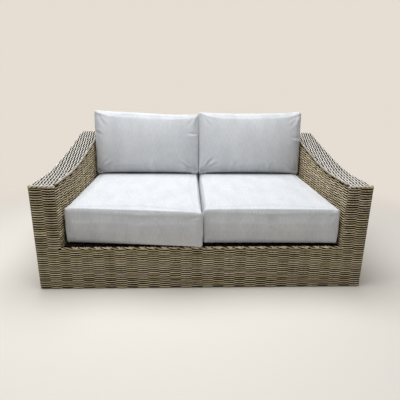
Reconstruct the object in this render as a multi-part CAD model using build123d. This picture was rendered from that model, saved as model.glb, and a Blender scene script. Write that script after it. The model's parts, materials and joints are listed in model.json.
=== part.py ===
from build123d import *
import os
from math import asin, cos, degrees, radians, sin, sqrt, tan

# A two-seat patio loveseat: an aluminium tube frame covered in woven resin strand,
# a deck of elastic straps, two boxed seat cushions and two pillow back cushions.
# Millimetres, +Z up, the front faces -Y, and the origin is on the floor under the
# middle of the whole loveseat, cushions included.

# Overall sizes of the woven body
overall_width = 1650.0
frame_depth = 1000.0
cushion_overhang = 28.0
front_y = (cushion_overhang - frame_depth) / 2
rear_y = front_y + frame_depth
overrun = 60.0

# Woven skins
weave_thickness = 12.0
weave_corner_radius = 16.0
weave_edge_radius = 8.0
foot_corner_radius = 9.0
glide_height = 6.0

# Arms: level at the front, then rising to the back in two arcs
arm_thickness = 135.0
arm_front_height = 544.0
arm_level_run = 200.0
arm_first_radius = 1400.0
arm_first_turn = 9.65
arm_second_radius = 6380.0
arm_mid_post_setback = 560.0
ridge_radius = 6.0
ridge_inset = 4.0
ridge_groove_gap = 0.3

# Apron, the woven front under the seat
apron_height = 229.0
apron_return_depth = 36.0
apron_return_drop = 2.0
braid_radius = 7.0

# Back
back_seat_thickness = 140.0
back_top_thickness = 110.0
back_height = 672.0
slat_strap_steps = (-1, 3)

# Frame tube, square
tube = 25.0
tube_wall = 1.5
upright_spacing = 460.0
upright_count = 3
rear_upright_spacing = 520.0
seat_rail_gap = 13.0

# Seat deck of elastic straps
strap_width = 50.0
strap_thickness = 2.5
strap_end_inset = 3.0
strap_skin_gap = 1.0
long_strap_gap = 26.0
long_strap_end_gap = 54.0
long_strap_count = 8
cross_strap_end_gap = 31.5
cross_strap_count = 7
staple_width = 24.0
staple_wire = 1.4
staple_inset = 8.0

# Glides pressed into the base tube
glide_radius = 17.0
stem_radius = 5.0
stem_length = 22.0
stem_clearance = 0.2
glide_edge_radius = 2.0

# Seat cushions
soft_gap = 0.3
cushion_side_gap = 4.0
cushion_centre_gap = 3.0
cushion_rear_gap = 4.0
seat_height = 417.0
seat_crown = 19.0
seat_lower_seam_height = 244.0
seat_edge_radius = 24.0
seat_foot_radius = 15.0
seat_front_bulge = 5.0
left_recess_outer = 40.0
right_recess_outer = 12.0
right_recess_inner = 22.0
cover_thickness = 2.0

# Back cushions: pillows that lean on the back
pillow_height = 412.0
pillow_top_dip = 24.0
pillow_thickness = 170.0
pillow_edge_thickness = 34.0
pillow_seam_thickness = 16.0
pillow_foot_thickness = 118.0
pillow_lean = 6.0
pillow_back_gap = 0.5
pillow_seat_gap = 0.6

# Zips
zip_length = 560.0
zip_recess_depth = 6.0
zip_recess_width = 26.0
zip_tape_thickness = 1.2
zip_tape_margin = 1.0
zip_teeth_width = 5.0
zip_teeth_height = 1.4
slider_length = 12.0
slider_width = 9.0
slider_height = 2.6
slider_gap = 0.3
slider_end_gap = 4.0

# Levels and lines that follow from those sizes
base_z = glide_height
sill_z = base_z + weave_thickness
half_width = overall_width / 2
inner_x = half_width - arm_thickness
seat_tube_top = apron_height - weave_thickness
deck_z = seat_tube_top + 2 * strap_thickness
skin_foot_z = deck_z + strap_skin_gap
seat_rail_y = front_y + weave_thickness + tube + seat_rail_gap
long_strap_pitch = (inner_x + long_strap_gap - 2 * long_strap_end_gap) / long_strap_count
long_strap_width = long_strap_pitch - long_strap_gap

first_turn = radians(arm_first_turn)
first_centre = (front_y + arm_level_run, arm_front_height + arm_first_radius)
bend_y = first_centre[0] + arm_first_radius * sin(first_turn)
bend_z = first_centre[1] - arm_first_radius * cos(first_turn)
second_centre = (bend_y - arm_second_radius * sin(first_turn),
                 bend_z + arm_second_radius * cos(first_turn))

rake = degrees(asin((back_seat_thickness - back_top_thickness) / (back_height - deck_z)))
back_foot_y = rear_y - back_seat_thickness


def top_z(y, drop=0.0):
    """Height of the arm's top line, moved down square to itself by drop."""
    if y <= first_centre[0]:
        return arm_front_height - drop
    radius = arm_first_radius + drop
    if y <= first_centre[0] + radius * sin(first_turn):
        return first_centre[1] - sqrt(radius**2 - (y - first_centre[0]) ** 2)
    radius = arm_second_radius + drop
    return second_centre[1] - sqrt(radius**2 - (y - second_centre[0]) ** 2)


def back_face_y(z, behind=0.0):
    """The raked inner face of the back at height z, moved rearward by behind."""
    return back_foot_y + (z - deck_z) * tan(radians(rake)) + behind / cos(radians(rake))


def block(x0, x1, y0, y1, z0, z1):
    """A plain block between two corners."""
    return Pos(x0, y0, z0) * Box(x1 - x0, y1 - y0, z1 - z0, align=(Align.MIN,) * 3)


def side_face(low_y, high_y, low_z, drop):
    """The side view of the woven body between two lines, as a face in Y and Z."""
    bend = first_centre[0] + (arm_first_radius + drop) * sin(first_turn)
    low_mid = (first_centre[0] + bend) / 2
    high_mid = (bend + high_y) / 2
    edges = [
        Line((low_y, low_z), (low_y, top_z(low_y, drop))),
        Line((low_y, top_z(low_y, drop)), (first_centre[0], top_z(low_y, drop))),
        ThreePointArc((first_centre[0], top_z(low_y, drop)), (low_mid, top_z(low_mid, drop)),
                      (bend, top_z(bend, drop))),
        ThreePointArc((bend, top_z(bend, drop)), (high_mid, top_z(high_mid, drop)),
                      (high_y, top_z(high_y, drop))),
        Line((high_y, top_z(high_y, drop)), (high_y, low_z)),
        Line((high_y, low_z), (low_y, low_z)),
    ]
    return make_face(Wire(edges))


def along_x(face, x0, x1):
    """Push a face drawn in Y and Z from x0 to x1."""
    return extrude(Plane.YZ.offset(x0) * face, amount=x1 - x0)


def under_top(drop, x0, x1):
    """Everything below the arm's top line moved down by drop."""
    face = side_face(front_y - overrun, rear_y + overrun, -overrun, drop)
    return along_x(face, x0, x1)


def behind_back(behind, x0, x1):
    """Everything behind the raked inner face of the back, moved rearward by behind."""
    low, high = -overrun, back_height + arm_thickness
    face = make_face(Polyline(
        (back_face_y(low, behind), low), (back_face_y(high, behind), high),
        (rear_y + overrun, high), (rear_y + overrun, low), close=True))
    return along_x(face, x0, x1)


def mirrored(solid):
    """The same piece for the other side."""
    return mirror(solid, about=Plane.YZ)


def square_tube(x0, x1, y0, y1, z0, z1, axis):
    """A hollow block, open at both ends along the named axis."""
    wall = {name: 0.0 if name == axis else tube_wall for name in "XYZ"}
    hole = block(x0 + wall["X"], x1 - wall["X"], y0 + wall["Y"], y1 - wall["Y"],
                 z0 + wall["Z"], z1 - wall["Z"])
    return block(x0, x1, y0, y1, z0, z1) - hole


def woven_envelope():
    """The whole outer form of the woven body with its rounded corners."""
    face = side_face(front_y, rear_y, base_z, 0.0)
    high = [v for v in face.vertices() if v.Z == 0 and v.Y > arm_front_height - weave_edge_radius
            and abs(v.X - (front_y + rear_y) / 2) > frame_depth / 2 - weave_edge_radius]
    face = fillet(high, weave_corner_radius)
    low = [v for v in face.vertices() if v.Y < base_z + weave_edge_radius]
    face = fillet(low, foot_corner_radius)
    body = along_x(face, -half_width, half_width)
    ends = body.faces().filter_by(Axis.X).edges()
    return fillet(ends, weave_edge_radius)


def arm_ridge(gap):
    """The wrapped edge along the arm's inner top edge, or with a gap the groove that it lies in."""
    x0, x1 = [inner_x + ridge_inset + side * (ridge_radius + gap) for side in (-1, 1)]
    bar = under_top(ridge_inset - 2 * ridge_radius - gap, x0, x1) - under_top(ridge_inset + gap, x0, x1)
    stop = back_face_y(top_z(rear_y - back_top_thickness))
    return bar & block(x0, x1, front_y + weave_corner_radius - gap, stop + gap, 0, 2 * back_height)


def woven_skins():
    """Every woven section, cut from the outer form so that neighbours meet face to face."""
    envelope = woven_envelope()
    inside_front = front_y + weave_thickness
    inside_rear = rear_y - weave_thickness
    inside_x = half_width - weave_thickness
    arm_skin_x = inner_x + weave_thickness
    reach = half_width + overrun
    high = back_height + arm_thickness

    skins = {"border_arm_right": arm_ridge(0.0)}
    groove = arm_ridge(ridge_groove_gap)
    skins["weave_arm_outer_right"] = envelope & block(inside_x, reach, -frame_depth, frame_depth, 0, high)

    face_block = block(inner_x, inside_x, -frame_depth, inside_front, 0, high)
    arm_front = envelope & face_block
    corner = arm_front.edges().filter_by(Axis.Z).group_by(Axis.Y)[0].sort_by(Axis.X)[0]
    skins["weave_arm_front_right"] = fillet(corner, weave_edge_radius) - groove

    middle = block(arm_skin_x, inside_x, inside_front, inside_rear, 0, high)
    top = (envelope & middle) - under_top(weave_thickness, 0, reach)
    skins["weave_arm_top_right"] = top - groove

    inner = envelope & block(inner_x, arm_skin_x, inside_front, inside_rear, skin_foot_z, high)
    skins["weave_arm_inner_right"] = inner - behind_back(0, 0, reach) - groove

    for name in list(skins):
        skins[name.replace("right", "left")] = mirrored(skins[name])
    side = envelope & block(arm_skin_x, inside_x, inside_front, inside_rear, 0, sill_z)
    skins["weave_base_sides"] = Compound(children=[side, mirrored(side)])

    behind = behind_back(0, -arm_skin_x, arm_skin_x)
    skins["weave_back_outer"] = envelope & block(-inside_x, inside_x, inside_rear, frame_depth, 0, high)
    top = envelope & behind & block(-arm_skin_x, arm_skin_x, -frame_depth, inside_rear, deck_z, high)
    skins["weave_back_top"] = top - under_top(weave_thickness, -reach, reach)
    inner = behind - behind_back(weave_thickness, -arm_skin_x, arm_skin_x)
    inner = inner & under_top(weave_thickness, -arm_skin_x, arm_skin_x)
    skins["weave_back_inner"] = inner & block(-arm_skin_x, arm_skin_x, -frame_depth, inside_rear,
                                              skin_foot_z, high)

    braid_z = apron_height - braid_radius
    plate = block(-inner_x, inner_x, front_y, inside_front, base_z, braid_z)
    foot = plate.edges().filter_by(Axis.X).group_by(Axis.Z)[0].sort_by(Axis.Y)[0]
    plate = fillet(foot, foot_corner_radius)
    braid_centre = Plane.YZ.offset(-inner_x) * Pos(front_y + braid_radius, braid_z)
    braid = extrude(braid_centre * Circle(braid_radius), amount=2 * inner_x)
    skins["border_apron"] = braid
    skins["weave_apron"] = plate - braid
    return_y = front_y + 2 * braid_radius
    skins["weave_apron_top"] = block(-inner_x, inner_x, return_y, return_y + apron_return_depth,
                                     seat_tube_top, apron_height - apron_return_drop)
    base_depth = tube + weave_thickness
    skins["weave_base_front"] = block(-arm_skin_x, arm_skin_x, inside_front, front_y + base_depth,
                                      base_z, sill_z)
    skins["weave_base_rear"] = block(-arm_skin_x, arm_skin_x, rear_y - base_depth, inside_rear,
                                     base_z, sill_z)
    return skins


def frame_tubes():
    """The welded aluminium frame, one tube for each member."""
    near, far = front_y + weave_thickness, rear_y - weave_thickness
    outer_x = half_width - weave_thickness
    skin_x = inner_x + weave_thickness
    base_top = sill_z + tube
    rail_low = seat_tube_top - tube
    tubes = {}

    tubes["base_rail_front"] = square_tube(-outer_x, outer_x, near, near + tube, sill_z, base_top, "X")
    tubes["base_rail_rear"] = square_tube(-outer_x, outer_x, far - tube, far, sill_z, base_top, "X")
    side = square_tube(outer_x - tube, outer_x, near + tube, far - tube, sill_z, base_top, "Y")
    tubes["base_rail_right"] = side
    tubes["base_rail_left"] = mirrored(side)

    tubes["apron_rail"] = square_tube(-skin_x, skin_x, near, near + tube, rail_low, seat_tube_top, "X")
    side = square_tube(skin_x - tube, skin_x, near + tube, rear_y, rail_low, seat_tube_top, "Y")
    side = side - behind_back(weave_thickness, -half_width, half_width)
    tubes["seat_side_rails"] = Compound(children=[side, mirrored(side)])
    tubes["seat_rail_front"] = square_tube(tube - skin_x, skin_x - tube, seat_rail_y,
                                           seat_rail_y + tube, rail_low, seat_tube_top, "X")
    centre = square_tube(-tube / 2, tube / 2, seat_rail_y + tube, rear_y, rail_low, seat_tube_top, "Y")
    tubes["seat_centre_bar"] = centre - behind_back(weave_thickness, -tube, tube)
    front_row = uprights(near, base_top, rail_low, upright_spacing, upright_count)

    rear_rail = raked_tube(-skin_x, skin_x, rail_low, seat_tube_top, True)
    tubes["seat_rail_rear"] = rear_rail
    rail_top = top_z(back_face_y(back_height, tube), weave_thickness + tube / 2)
    front_rail = raked_tube(-skin_x, skin_x, rail_top - tube, rail_top, True)
    tubes["back_rail_front"] = front_rail
    slats = []
    places = [0.0] + [inner_x / 2 + step * long_strap_pitch for step in slat_strap_steps]
    for x in places + [-x for x in places[1:]]:
        slats.append(raked_tube(x - tube / 2, x + tube / 2, seat_tube_top, rail_top - tube, False))
    tubes["back_slats"] = Compound(children=slats)

    tubes["back_rail_rear"] = bent_tube(-outer_x + tube, outer_x - tube, far - tube, far)
    outer_rail = bent_tube(outer_x - tube, outer_x, near, far)
    inner_rail = bent_tube(skin_x, skin_x + tube, near, far - tube)
    tubes["arm_rail_outer_right"] = outer_rail
    tubes["arm_rail_inner_right"] = inner_rail
    tubes["arm_rail_outer_left"] = mirrored(outer_rail)
    tubes["arm_rail_inner_left"] = mirrored(inner_rail)

    posts = []
    mid = front_y + arm_mid_post_setback
    for x in (skin_x, outer_x - tube):
        posts.append(post(x, near, base_top))
        posts.append(post(x, mid, base_top if x > skin_x else rail_low))
    posts.append(post(outer_x - tube, far - tube, base_top))
    tubes["arm_posts_right"] = Compound(children=posts)
    tubes["arm_posts_left"] = Compound(children=[mirrored(one) for one in posts])

    spreaders = []
    for y in (near, mid, far - 2 * tube):
        short = bent_tube(skin_x + tube, outer_x - tube, y, y + tube)
        spreaders += [short, mirrored(short)]
    for step in range(upright_count):
        x = (step - (upright_count - 1) / 2) * rear_upright_spacing
        strut = square_tube(x - tube / 2, x + tube / 2, back_foot_y, far - tube,
                            rail_low, seat_tube_top, "Y")
        spreaders.append(strut & behind_back(weave_thickness + tube, x - tube, x + tube))
    tubes["rail_spreaders"] = Compound(children=spreaders)
    lid = under_top(weave_thickness + tube, -half_width, half_width)
    rear_row = uprights(far - tube, base_top, back_height, rear_upright_spacing, upright_count)
    tubes["frame_uprights"] = Compound(children=front_row + [one & lid for one in rear_row])
    return tubes


def uprights(y, low, high, spacing, count):
    """A row of upright tubes between two rails."""
    row = []
    for index in range(count):
        x = (index - (count - 1) / 2) * spacing
        row.append(square_tube(x - tube / 2, x + tube / 2, y, y + tube, low, high, "Z"))
    return row


def post(x, y, low):
    """An upright tube in an arm, cut to the underside of the arm's top rail."""
    whole = square_tube(x, x + tube, y, y + tube, low, back_height + tube, "Z")
    return whole & under_top(weave_thickness + tube, x - tube, x + 2 * tube)


def bent_tube(x0, x1, y0, y1):
    """A tube under the arm's top skin that follows the top line between y0 and y1."""
    long = y1 - y0 > x1 - x0
    drop = weave_thickness
    shell = under_top(drop, x0, x1) - under_top(drop + tube, x0, x1)
    shell = shell & block(x0, x1, y0, y1, 0, 2 * back_height)
    wall_x, wall_y = (tube_wall, 0.0) if long else (0.0, tube_wall)
    hole = under_top(drop + tube_wall, x0, x1) - under_top(drop + tube - tube_wall, x0, x1)
    return shell - (hole & block(x0 + wall_x, x1 - wall_x, y0 + wall_y, y1 - wall_y,
                                 0, 2 * back_height))


def raked_tube(x0, x1, low, high, lying):
    """A tube behind the back's inner skin, standing along the rake or lying along X."""
    wall_x, wall_z = (0.0, tube_wall) if lying else (tube_wall, 0.0)
    shell = behind_back(weave_thickness, x0, x1) - behind_back(weave_thickness + tube, x0, x1)
    shell = shell & block(x0, x1, -frame_depth, frame_depth, low, high)
    hole = behind_back(weave_thickness + tube_wall, x0 + wall_x, x1 - wall_x)
    hole = hole - behind_back(weave_thickness + tube - tube_wall, x0, x1)
    return shell - (hole & block(x0, x1, -frame_depth, frame_depth, low + wall_z, high - wall_z))


def glides(base_skins, base_tubes):
    """Six round glides, and the holes for their stems in the skins and tubes above."""
    near = front_y + weave_thickness + tube / 2
    far = rear_y - weave_thickness - tube / 2
    side = half_width - weave_thickness - arm_thickness / 3
    row, holes = [], []
    for x in (-side, 0.0, side):
        for y in (near, far):
            foot = Pos(x, y, 0) * Cylinder(glide_radius, glide_height, align=(Align.CENTER,) * 2 + (Align.MIN,))
            foot = fillet(foot.edges().group_by(Axis.Z)[0], glide_edge_radius)
            stem = Pos(x, y, glide_height) * Cylinder(stem_radius, stem_length,
                                                      align=(Align.CENTER,) * 2 + (Align.MIN,))
            hole = Pos(x, y, glide_height) * Cylinder(stem_radius + stem_clearance, stem_length,
                                                      align=(Align.CENTER,) * 2 + (Align.MIN,))
            row.append(foot + stem)
            holes.append(hole)
    for group in (base_skins, base_tubes):
        for name in group:
            group[name] = group[name] - holes
    return Compound(children=row)


def deck():
    """Elastic straps in two layers on the seat rails, and the staples at their ends."""
    skin_x = inner_x + weave_thickness - strap_end_inset
    first_y, last_y = seat_rail_y + strap_end_inset, back_face_y(seat_tube_top, weave_thickness + tube)
    last_y -= strap_end_inset
    low, mid = seat_tube_top, seat_tube_top + strap_thickness
    cross, long, staples = [], [], []
    deck_front = seat_rail_y + tube
    first_cross_y = deck_front + cross_strap_end_gap + strap_width / 2
    cross_strap_pitch = (back_foot_y - deck_front - strap_width - 2 * cross_strap_end_gap)
    cross_strap_pitch /= cross_strap_count - 1
    for index in range(cross_strap_count):
        y = first_cross_y + index * cross_strap_pitch
        cross.append(block(-skin_x, skin_x, y - strap_width / 2, y + strap_width / 2, low, mid))
        for side in (-1, 1):
            x = side * (skin_x - staple_inset)
            staples.append(staple(x, y, mid, False))
    for side in (-1, 1):
        for index in range(long_strap_count):
            x = side * (inner_x / 2 + (index - (long_strap_count - 1) / 2) * long_strap_pitch)
            half = long_strap_width / 2
            long.append(block(x - half, x + half, first_y, last_y, mid, deck_z))
            for y in (first_y + staple_inset, last_y - staple_inset):
                staples.append(staple(x, y, deck_z, True))
    straps = {"deck_straps_crosswise": Compound(children=cross),
              "deck_straps_lengthwise": Compound(children=long)}
    straps["strap_staples"] = Compound(children=staples)
    return straps


def staple(x, y, top, along):
    """The crown of a staple on top of a strap, with its width along X or along Y."""
    half_x, half_y = (staple_width / 2, staple_wire / 2) if along else (staple_wire / 2, staple_width / 2)
    return block(x - half_x, x + half_x, y - half_y, y + half_y, top, top + staple_wire / 2)


def box_section(x, low_y, high_y, low_z, high_z, crown, sag):
    """One slice of a boxed cushion at x: crowned top, sagging foot and rounded corners."""
    top, foot, bulge = seat_edge_radius, seat_foot_radius, seat_front_bulge
    top_slant, foot_slant = [radius * (1 - cos(radians(45))) for radius in (top, foot)]
    mid_y, mid_z = (low_y + high_y) / 2, (low_z + high_z) / 2

    def arc(start, through, end):
        return ThreePointArc(*[(x, y, z) for y, z in (start, through, end)])

    edges = [
        arc((low_y, low_z + foot), (low_y - bulge, mid_z), (low_y, high_z - top)),
        arc((low_y, high_z - top), (low_y + top_slant, high_z - top_slant), (low_y + top, high_z)),
        arc((low_y + top, high_z), (mid_y, high_z + crown), (high_y - top, high_z)),
        arc((high_y - top, high_z), (high_y - top_slant, high_z - top_slant), (high_y, high_z - top)),
        arc((high_y, high_z - top), (high_y + bulge / 2, mid_z), (high_y, low_z + foot)),
        arc((high_y, low_z + foot), (high_y - foot_slant, low_z + foot_slant), (high_y - foot, low_z)),
        arc((high_y - foot, low_z), (mid_y, low_z - sag), (low_y + foot, low_z)),
        arc((low_y + foot, low_z), (low_y + foot_slant, low_z + foot_slant), (low_y, low_z + foot)),
    ]
    return make_face(Wire(edges))


def crown_z(y, front, rear):
    """Height of a seat cushion's crown at y, on its middle slice between front and rear."""
    low, high = front + seat_front_bulge + seat_edge_radius, rear - seat_front_bulge / 2 - seat_edge_radius
    half = (high - low) / 2
    radius = (half**2 + seat_crown**2) / (2 * seat_crown)
    return seat_height + seat_crown - radius + sqrt(radius**2 - (y - low - half) ** 2)


# Slices of a seat cushion, as shares of its width, of its edge rounding and of its crown
seat_slice_shares = [(0.0, 1.0, 0.05), (0.012, 0.45, 0.1), (0.045, 0.0, 0.3), (0.25, 0.0, 0.8),
                     (0.5, 0.0, 1.0), (0.75, 0.0, 0.8), (0.955, 0.0, 0.3), (0.988, 0.45, 0.1),
                     (1.0, 1.0, 0.05)]


def seat_form(x0, x1, front_outer, front_inner, wall):
    """A boxed seat cushion from its outer end x0 to its inner end x1, made thinner by wall."""
    rear = back_face_y(seat_lower_seam_height) - cushion_rear_gap
    sag = seat_lower_seam_height - deck_z - soft_gap
    inward = wall if x1 > x0 else -wall
    slices = []
    for along, rounding, crown in seat_slice_shares:
        x = x0 + inward + along * (x1 - x0 - 2 * inward)
        inset = wall + rounding * seat_edge_radius / 2
        front = front_outer + along * (front_inner - front_outer)
        slices.append(box_section(
            x, front + seat_front_bulge + inset, rear - seat_front_bulge / 2 - inset,
            seat_lower_seam_height + inset, seat_height - inset, crown * seat_crown, crown * sag))
    return loft(slices)


# A pillow slice's side, as shares of its height and of its half thickness
pillow_low_share, pillow_high_share, pillow_side_share = 0.24, 0.74, 0.9
pillow_shoulder_share = 0.93


def pillow_section(x, foot_y, foot_z, height, half_foot, half_mid, half_top):
    """One slice of a pillow at x: a flat foot, two plump sides of three arcs and a top seam."""
    lean = radians(pillow_lean)
    side = pillow_side_share * half_mid
    low, high = pillow_low_share * height, pillow_high_share * height
    shoulder = (half_top + (side - half_top) * cos(radians(45)), pillow_shoulder_share * height)
    hip = (half_foot + (side - half_foot) * cos(radians(45)), low * (1 - cos(radians(45))))

    def place(across, up):
        return (x, foot_y + across * cos(lean) + up * sin(lean), foot_z + up * cos(lean))

    edges = [Line((x, foot_y - half_foot, foot_z), (x, foot_y + half_foot, foot_z))]
    rear = [(half_foot, None), hip, (side, low), (half_mid, height / 2), (side, high), shoulder,
            (half_top, height)]
    points = [(x, foot_y + half_foot, foot_z)] + [place(*point) for point in rear[1:]]
    edges += [ThreePointArc(*points[i:i + 3]) for i in (0, 2, 4)]
    front = [(x, foot_y - half_foot, foot_z)] + [place(-across, up) for across, up in rear[1:]]
    edges.append(Line(points[-1], front[-1]))
    front.reverse()
    edges += [ThreePointArc(*front[i:i + 3]) for i in (0, 2, 4)]
    return make_face(Wire(edges))


# Slices of a pillow, as shares of its width, of its fullness and of the dip in its top edge
pillow_slice_shares = [(0.0, 0.0, 0.0), (0.03, 0.3, 0.08), (0.12, 0.66, 0.4), (0.3, 0.93, 0.85),
                       (0.5, 1.0, 1.0), (0.7, 0.93, 0.85), (0.88, 0.66, 0.4), (0.97, 0.3, 0.08),
                       (1.0, 0.0, 0.0)]


def pillow_form(x0, x1, foot_y, foot_z, wall):
    """A pillow from x0 to x1 with pinched corners and a dipped top edge, thinner by wall."""
    inward = wall if x1 > x0 else -wall
    slices = []
    for along, fullness, dip in pillow_slice_shares:
        x = x0 + inward + along * (x1 - x0 - 2 * inward)
        edge = pillow_edge_thickness / 2
        half_mid = edge + fullness * (pillow_thickness / 2 - edge) - wall
        half_foot = edge + fullness * (pillow_foot_thickness / 2 - edge) - wall
        height = pillow_height - dip * pillow_top_dip - 2 * wall
        slices.append(pillow_section(x, foot_y, foot_z + wall, height, half_foot, half_mid,
                                     pillow_seam_thickness / 2 - wall))
    return loft(slices)


def zipped(outer, inner, filling, recess, recess_backing):
    """A hollow cover with a recess for its zip, and the filling inside it."""
    cover = outer - recess - (inner - recess_backing)
    return cover, filling - recess_backing


def zip_pieces(place, side):
    """A zip's chain and its slider, drawn lying on XY and then put in place."""
    half = zip_length / 2
    width = zip_recess_width - 2 * zip_tape_margin
    chain = block(-half, half, -width / 2, width / 2, 0, zip_tape_thickness)
    chain = chain + block(-half, half, -zip_teeth_width / 2, zip_teeth_width / 2,
                          zip_tape_thickness, zip_tape_thickness + zip_teeth_height)
    low = zip_tape_thickness + slider_gap
    top = zip_tape_thickness + zip_teeth_height + slider_gap + slider_height / 2
    start = side * (half - slider_end_gap)
    body = block(start - side * slider_length, start, -slider_width / 2, slider_width / 2, low, top) \
        if side > 0 else block(start, start + slider_length, -slider_width / 2, slider_width / 2, low, top)
    slot = block(-half, half, -zip_teeth_width / 2 - slider_gap, zip_teeth_width / 2 + slider_gap,
                 0, zip_tape_thickness + zip_teeth_height + slider_gap)
    return place * chain, place * (body - slot)


def cushions():
    """Covers, fillings, zips and sliders of the four cushions."""
    pieces = {}
    outer_end, inner_end = inner_x - cushion_side_gap, cushion_centre_gap
    full_share = seat_slice_shares[-3][0]
    left_recess_inner = left_recess_outer - (left_recess_outer + cushion_overhang) / full_share
    recesses = {"left": (left_recess_outer, left_recess_inner),
                "right": (right_recess_outer, right_recess_inner)}
    rear = back_face_y(seat_lower_seam_height) - cushion_rear_gap
    zip_z = (seat_lower_seam_height + seat_height) / 2
    pillow_mid_z = seat_height + seat_crown + pillow_height / 2
    pillow_y = back_face_y(pillow_mid_z) - pillow_back_gap - pillow_thickness / 2 \
        - sin(radians(pillow_lean)) * pillow_height / 2
    fill_wall = cover_thickness + soft_gap
    for name, side in (("left", -1), ("right", 1)):
        ends = (side * outer_end, side * inner_end)
        fronts = [front_y + recess for recess in recesses[name]]
        pillow_z = crown_z(pillow_y - pillow_foot_thickness / 2, sum(fronts) / 2, rear) + pillow_seat_gap
        outer, inner, filling = [seat_form(*ends, *fronts, wall) for wall in (0.0, cover_thickness, fill_wall)]
        middle = side * (outer_end + inner_end) / 2
        half, width = zip_length / 2 + slider_end_gap, zip_recess_width / 2
        recess = block(middle - half, middle + half, rear - zip_recess_depth, rear + overrun,
                       zip_z - width, zip_z + width)
        backing = block(middle - half - fill_wall, middle + half + fill_wall,
                        rear - zip_recess_depth - fill_wall, rear + overrun,
                        zip_z - width - fill_wall, zip_z + width + fill_wall)
        cover, fill = zipped(outer, inner, filling, recess, backing)
        pieces[f"seat_cover_{name}"], pieces[f"seat_foam_{name}"] = cover, fill
        place = Pos(middle, rear - zip_recess_depth, zip_z) * Rot(-90, 0, 0)
        chain, slider = zip_pieces(place, side)
        pieces[f"seat_zip_{name}"], pieces[f"seat_zip_slider_{name}"] = chain, slider

        outer, inner, filling = [pillow_form(*ends, pillow_y, pillow_z, wall)
                                 for wall in (0.0, cover_thickness, fill_wall)]
        recess = block(middle - half, middle + half, pillow_y - width, pillow_y + width,
                       pillow_z - overrun, pillow_z + zip_recess_depth)
        backing = block(middle - half - fill_wall, middle + half + fill_wall,
                        pillow_y - width - fill_wall, pillow_y + width + fill_wall,
                        pillow_z - overrun, pillow_z + zip_recess_depth + fill_wall)
        cover, fill = zipped(outer, inner, filling, recess, backing)
        pieces[f"back_cover_{name}"], pieces[f"back_fill_{name}"] = cover, fill
        place = Pos(middle, pillow_y, pillow_z + zip_recess_depth) * Rot(180, 0, 0)
        chain, slider = zip_pieces(place, side)
        pieces[f"back_zip_{name}"], pieces[f"back_zip_slider_{name}"] = chain, slider
    return pieces


def main():
    pieces = woven_skins()
    tubes = frame_tubes()
    base_skins = {name: pieces[name] for name in pieces if name.startswith("weave_base")}
    base_tubes = {name: tubes[name] for name in tubes if name.startswith("base_rail")}
    feet = glides(base_skins, base_tubes)
    pieces.update(base_skins)
    pieces.update(tubes)
    pieces.update(base_tubes)
    pieces["glides"] = feet
    pieces.update(deck())
    pieces.update(cushions())
    os.makedirs("parts", exist_ok=True)
    for name, shape in pieces.items():
        export_step(shape, f"parts/{name}.step")
    print(len(pieces), "nodes")


main()
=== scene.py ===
"""Looks of a two-seat patio loveseat: a woven resin body on an aluminium frame, with cloth cushions.

Metres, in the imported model's own frame: +X right as seen from the front, +Y to the back, +Z up.
"""
import json
import logging
import math
from dataclasses import dataclass, field
from enum import Enum

import bpy
import numpy as np
from mathutils import Matrix, Vector


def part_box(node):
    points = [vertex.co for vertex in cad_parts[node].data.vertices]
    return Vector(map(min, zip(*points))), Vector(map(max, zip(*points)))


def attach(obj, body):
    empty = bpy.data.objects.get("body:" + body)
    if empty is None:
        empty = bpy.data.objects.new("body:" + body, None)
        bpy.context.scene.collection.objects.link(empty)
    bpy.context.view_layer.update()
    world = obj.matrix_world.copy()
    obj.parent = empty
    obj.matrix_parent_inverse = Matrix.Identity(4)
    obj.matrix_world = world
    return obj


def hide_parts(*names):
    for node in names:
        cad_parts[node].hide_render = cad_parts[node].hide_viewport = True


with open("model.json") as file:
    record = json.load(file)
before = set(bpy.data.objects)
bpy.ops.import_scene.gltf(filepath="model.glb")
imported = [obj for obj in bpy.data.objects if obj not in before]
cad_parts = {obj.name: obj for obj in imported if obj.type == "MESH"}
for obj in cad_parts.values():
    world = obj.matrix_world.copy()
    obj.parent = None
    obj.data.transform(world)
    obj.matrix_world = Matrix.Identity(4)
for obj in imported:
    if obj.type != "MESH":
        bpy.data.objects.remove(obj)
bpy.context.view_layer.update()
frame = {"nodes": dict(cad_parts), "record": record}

log = logging.getLogger("loveseat")
Array = np.ndarray
Socket = bpy.types.NodeSocket
Fold = tuple[tuple[float, float], tuple[float, float], float, float]

# Sizes of the woven body
HALF_WIDTH, INNER_X = 0.825, 0.690
FRONT_Y, REAR_Y = -0.486, 0.514
BASE_Z, SKIN_FOOT_Z, APRON_TOP_Z, DECK_Z = 0.006, 0.223, 0.229, 0.222
WEAVE_DEPTH = 0.012
BACK_FOOT_Y, BACK_RAKE = 0.374, math.radians(3.824)
BACK_TOP_Y, BACK_TOP_Z, BACK_BEND_Z = 0.404, 0.6665, 0.655
ARM_FRONT_TOP, ARM_LEVEL_END, ARM_REAR_INSIDE = 0.544, -0.286, 0.665
FIRST_RADIUS, SECOND_RADIUS, FIRST_TURN = 1.400, 6.380, math.radians(9.65)
TOP_ROUND, PLAN_ROUND, EDGE_ROUND, EDGE_ROLL = 0.0098, 0.006, 0.016, 0.015

# How the strand is laid
MID_DEPTH, SWING, STRAND_HALF_DEPTH, STAKE_RADIUS = 0.0062, 0.0031, 0.0030, 0.0024
ROWS, SAMPLES, TOP_ROW_PITCH = 87, 6, 0.0080
POST_EDGE = 0.009
ROW_PITCH = (ARM_FRONT_TOP - POST_EDGE - BASE_Z) / ROWS
ROW_BELOW = 0.004
# The stakes' tone, and the painted shade they carry, as they are seen only deep between rows.
STAKE_TONE, STAKE_SHADE = 0.9, 0.62

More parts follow.
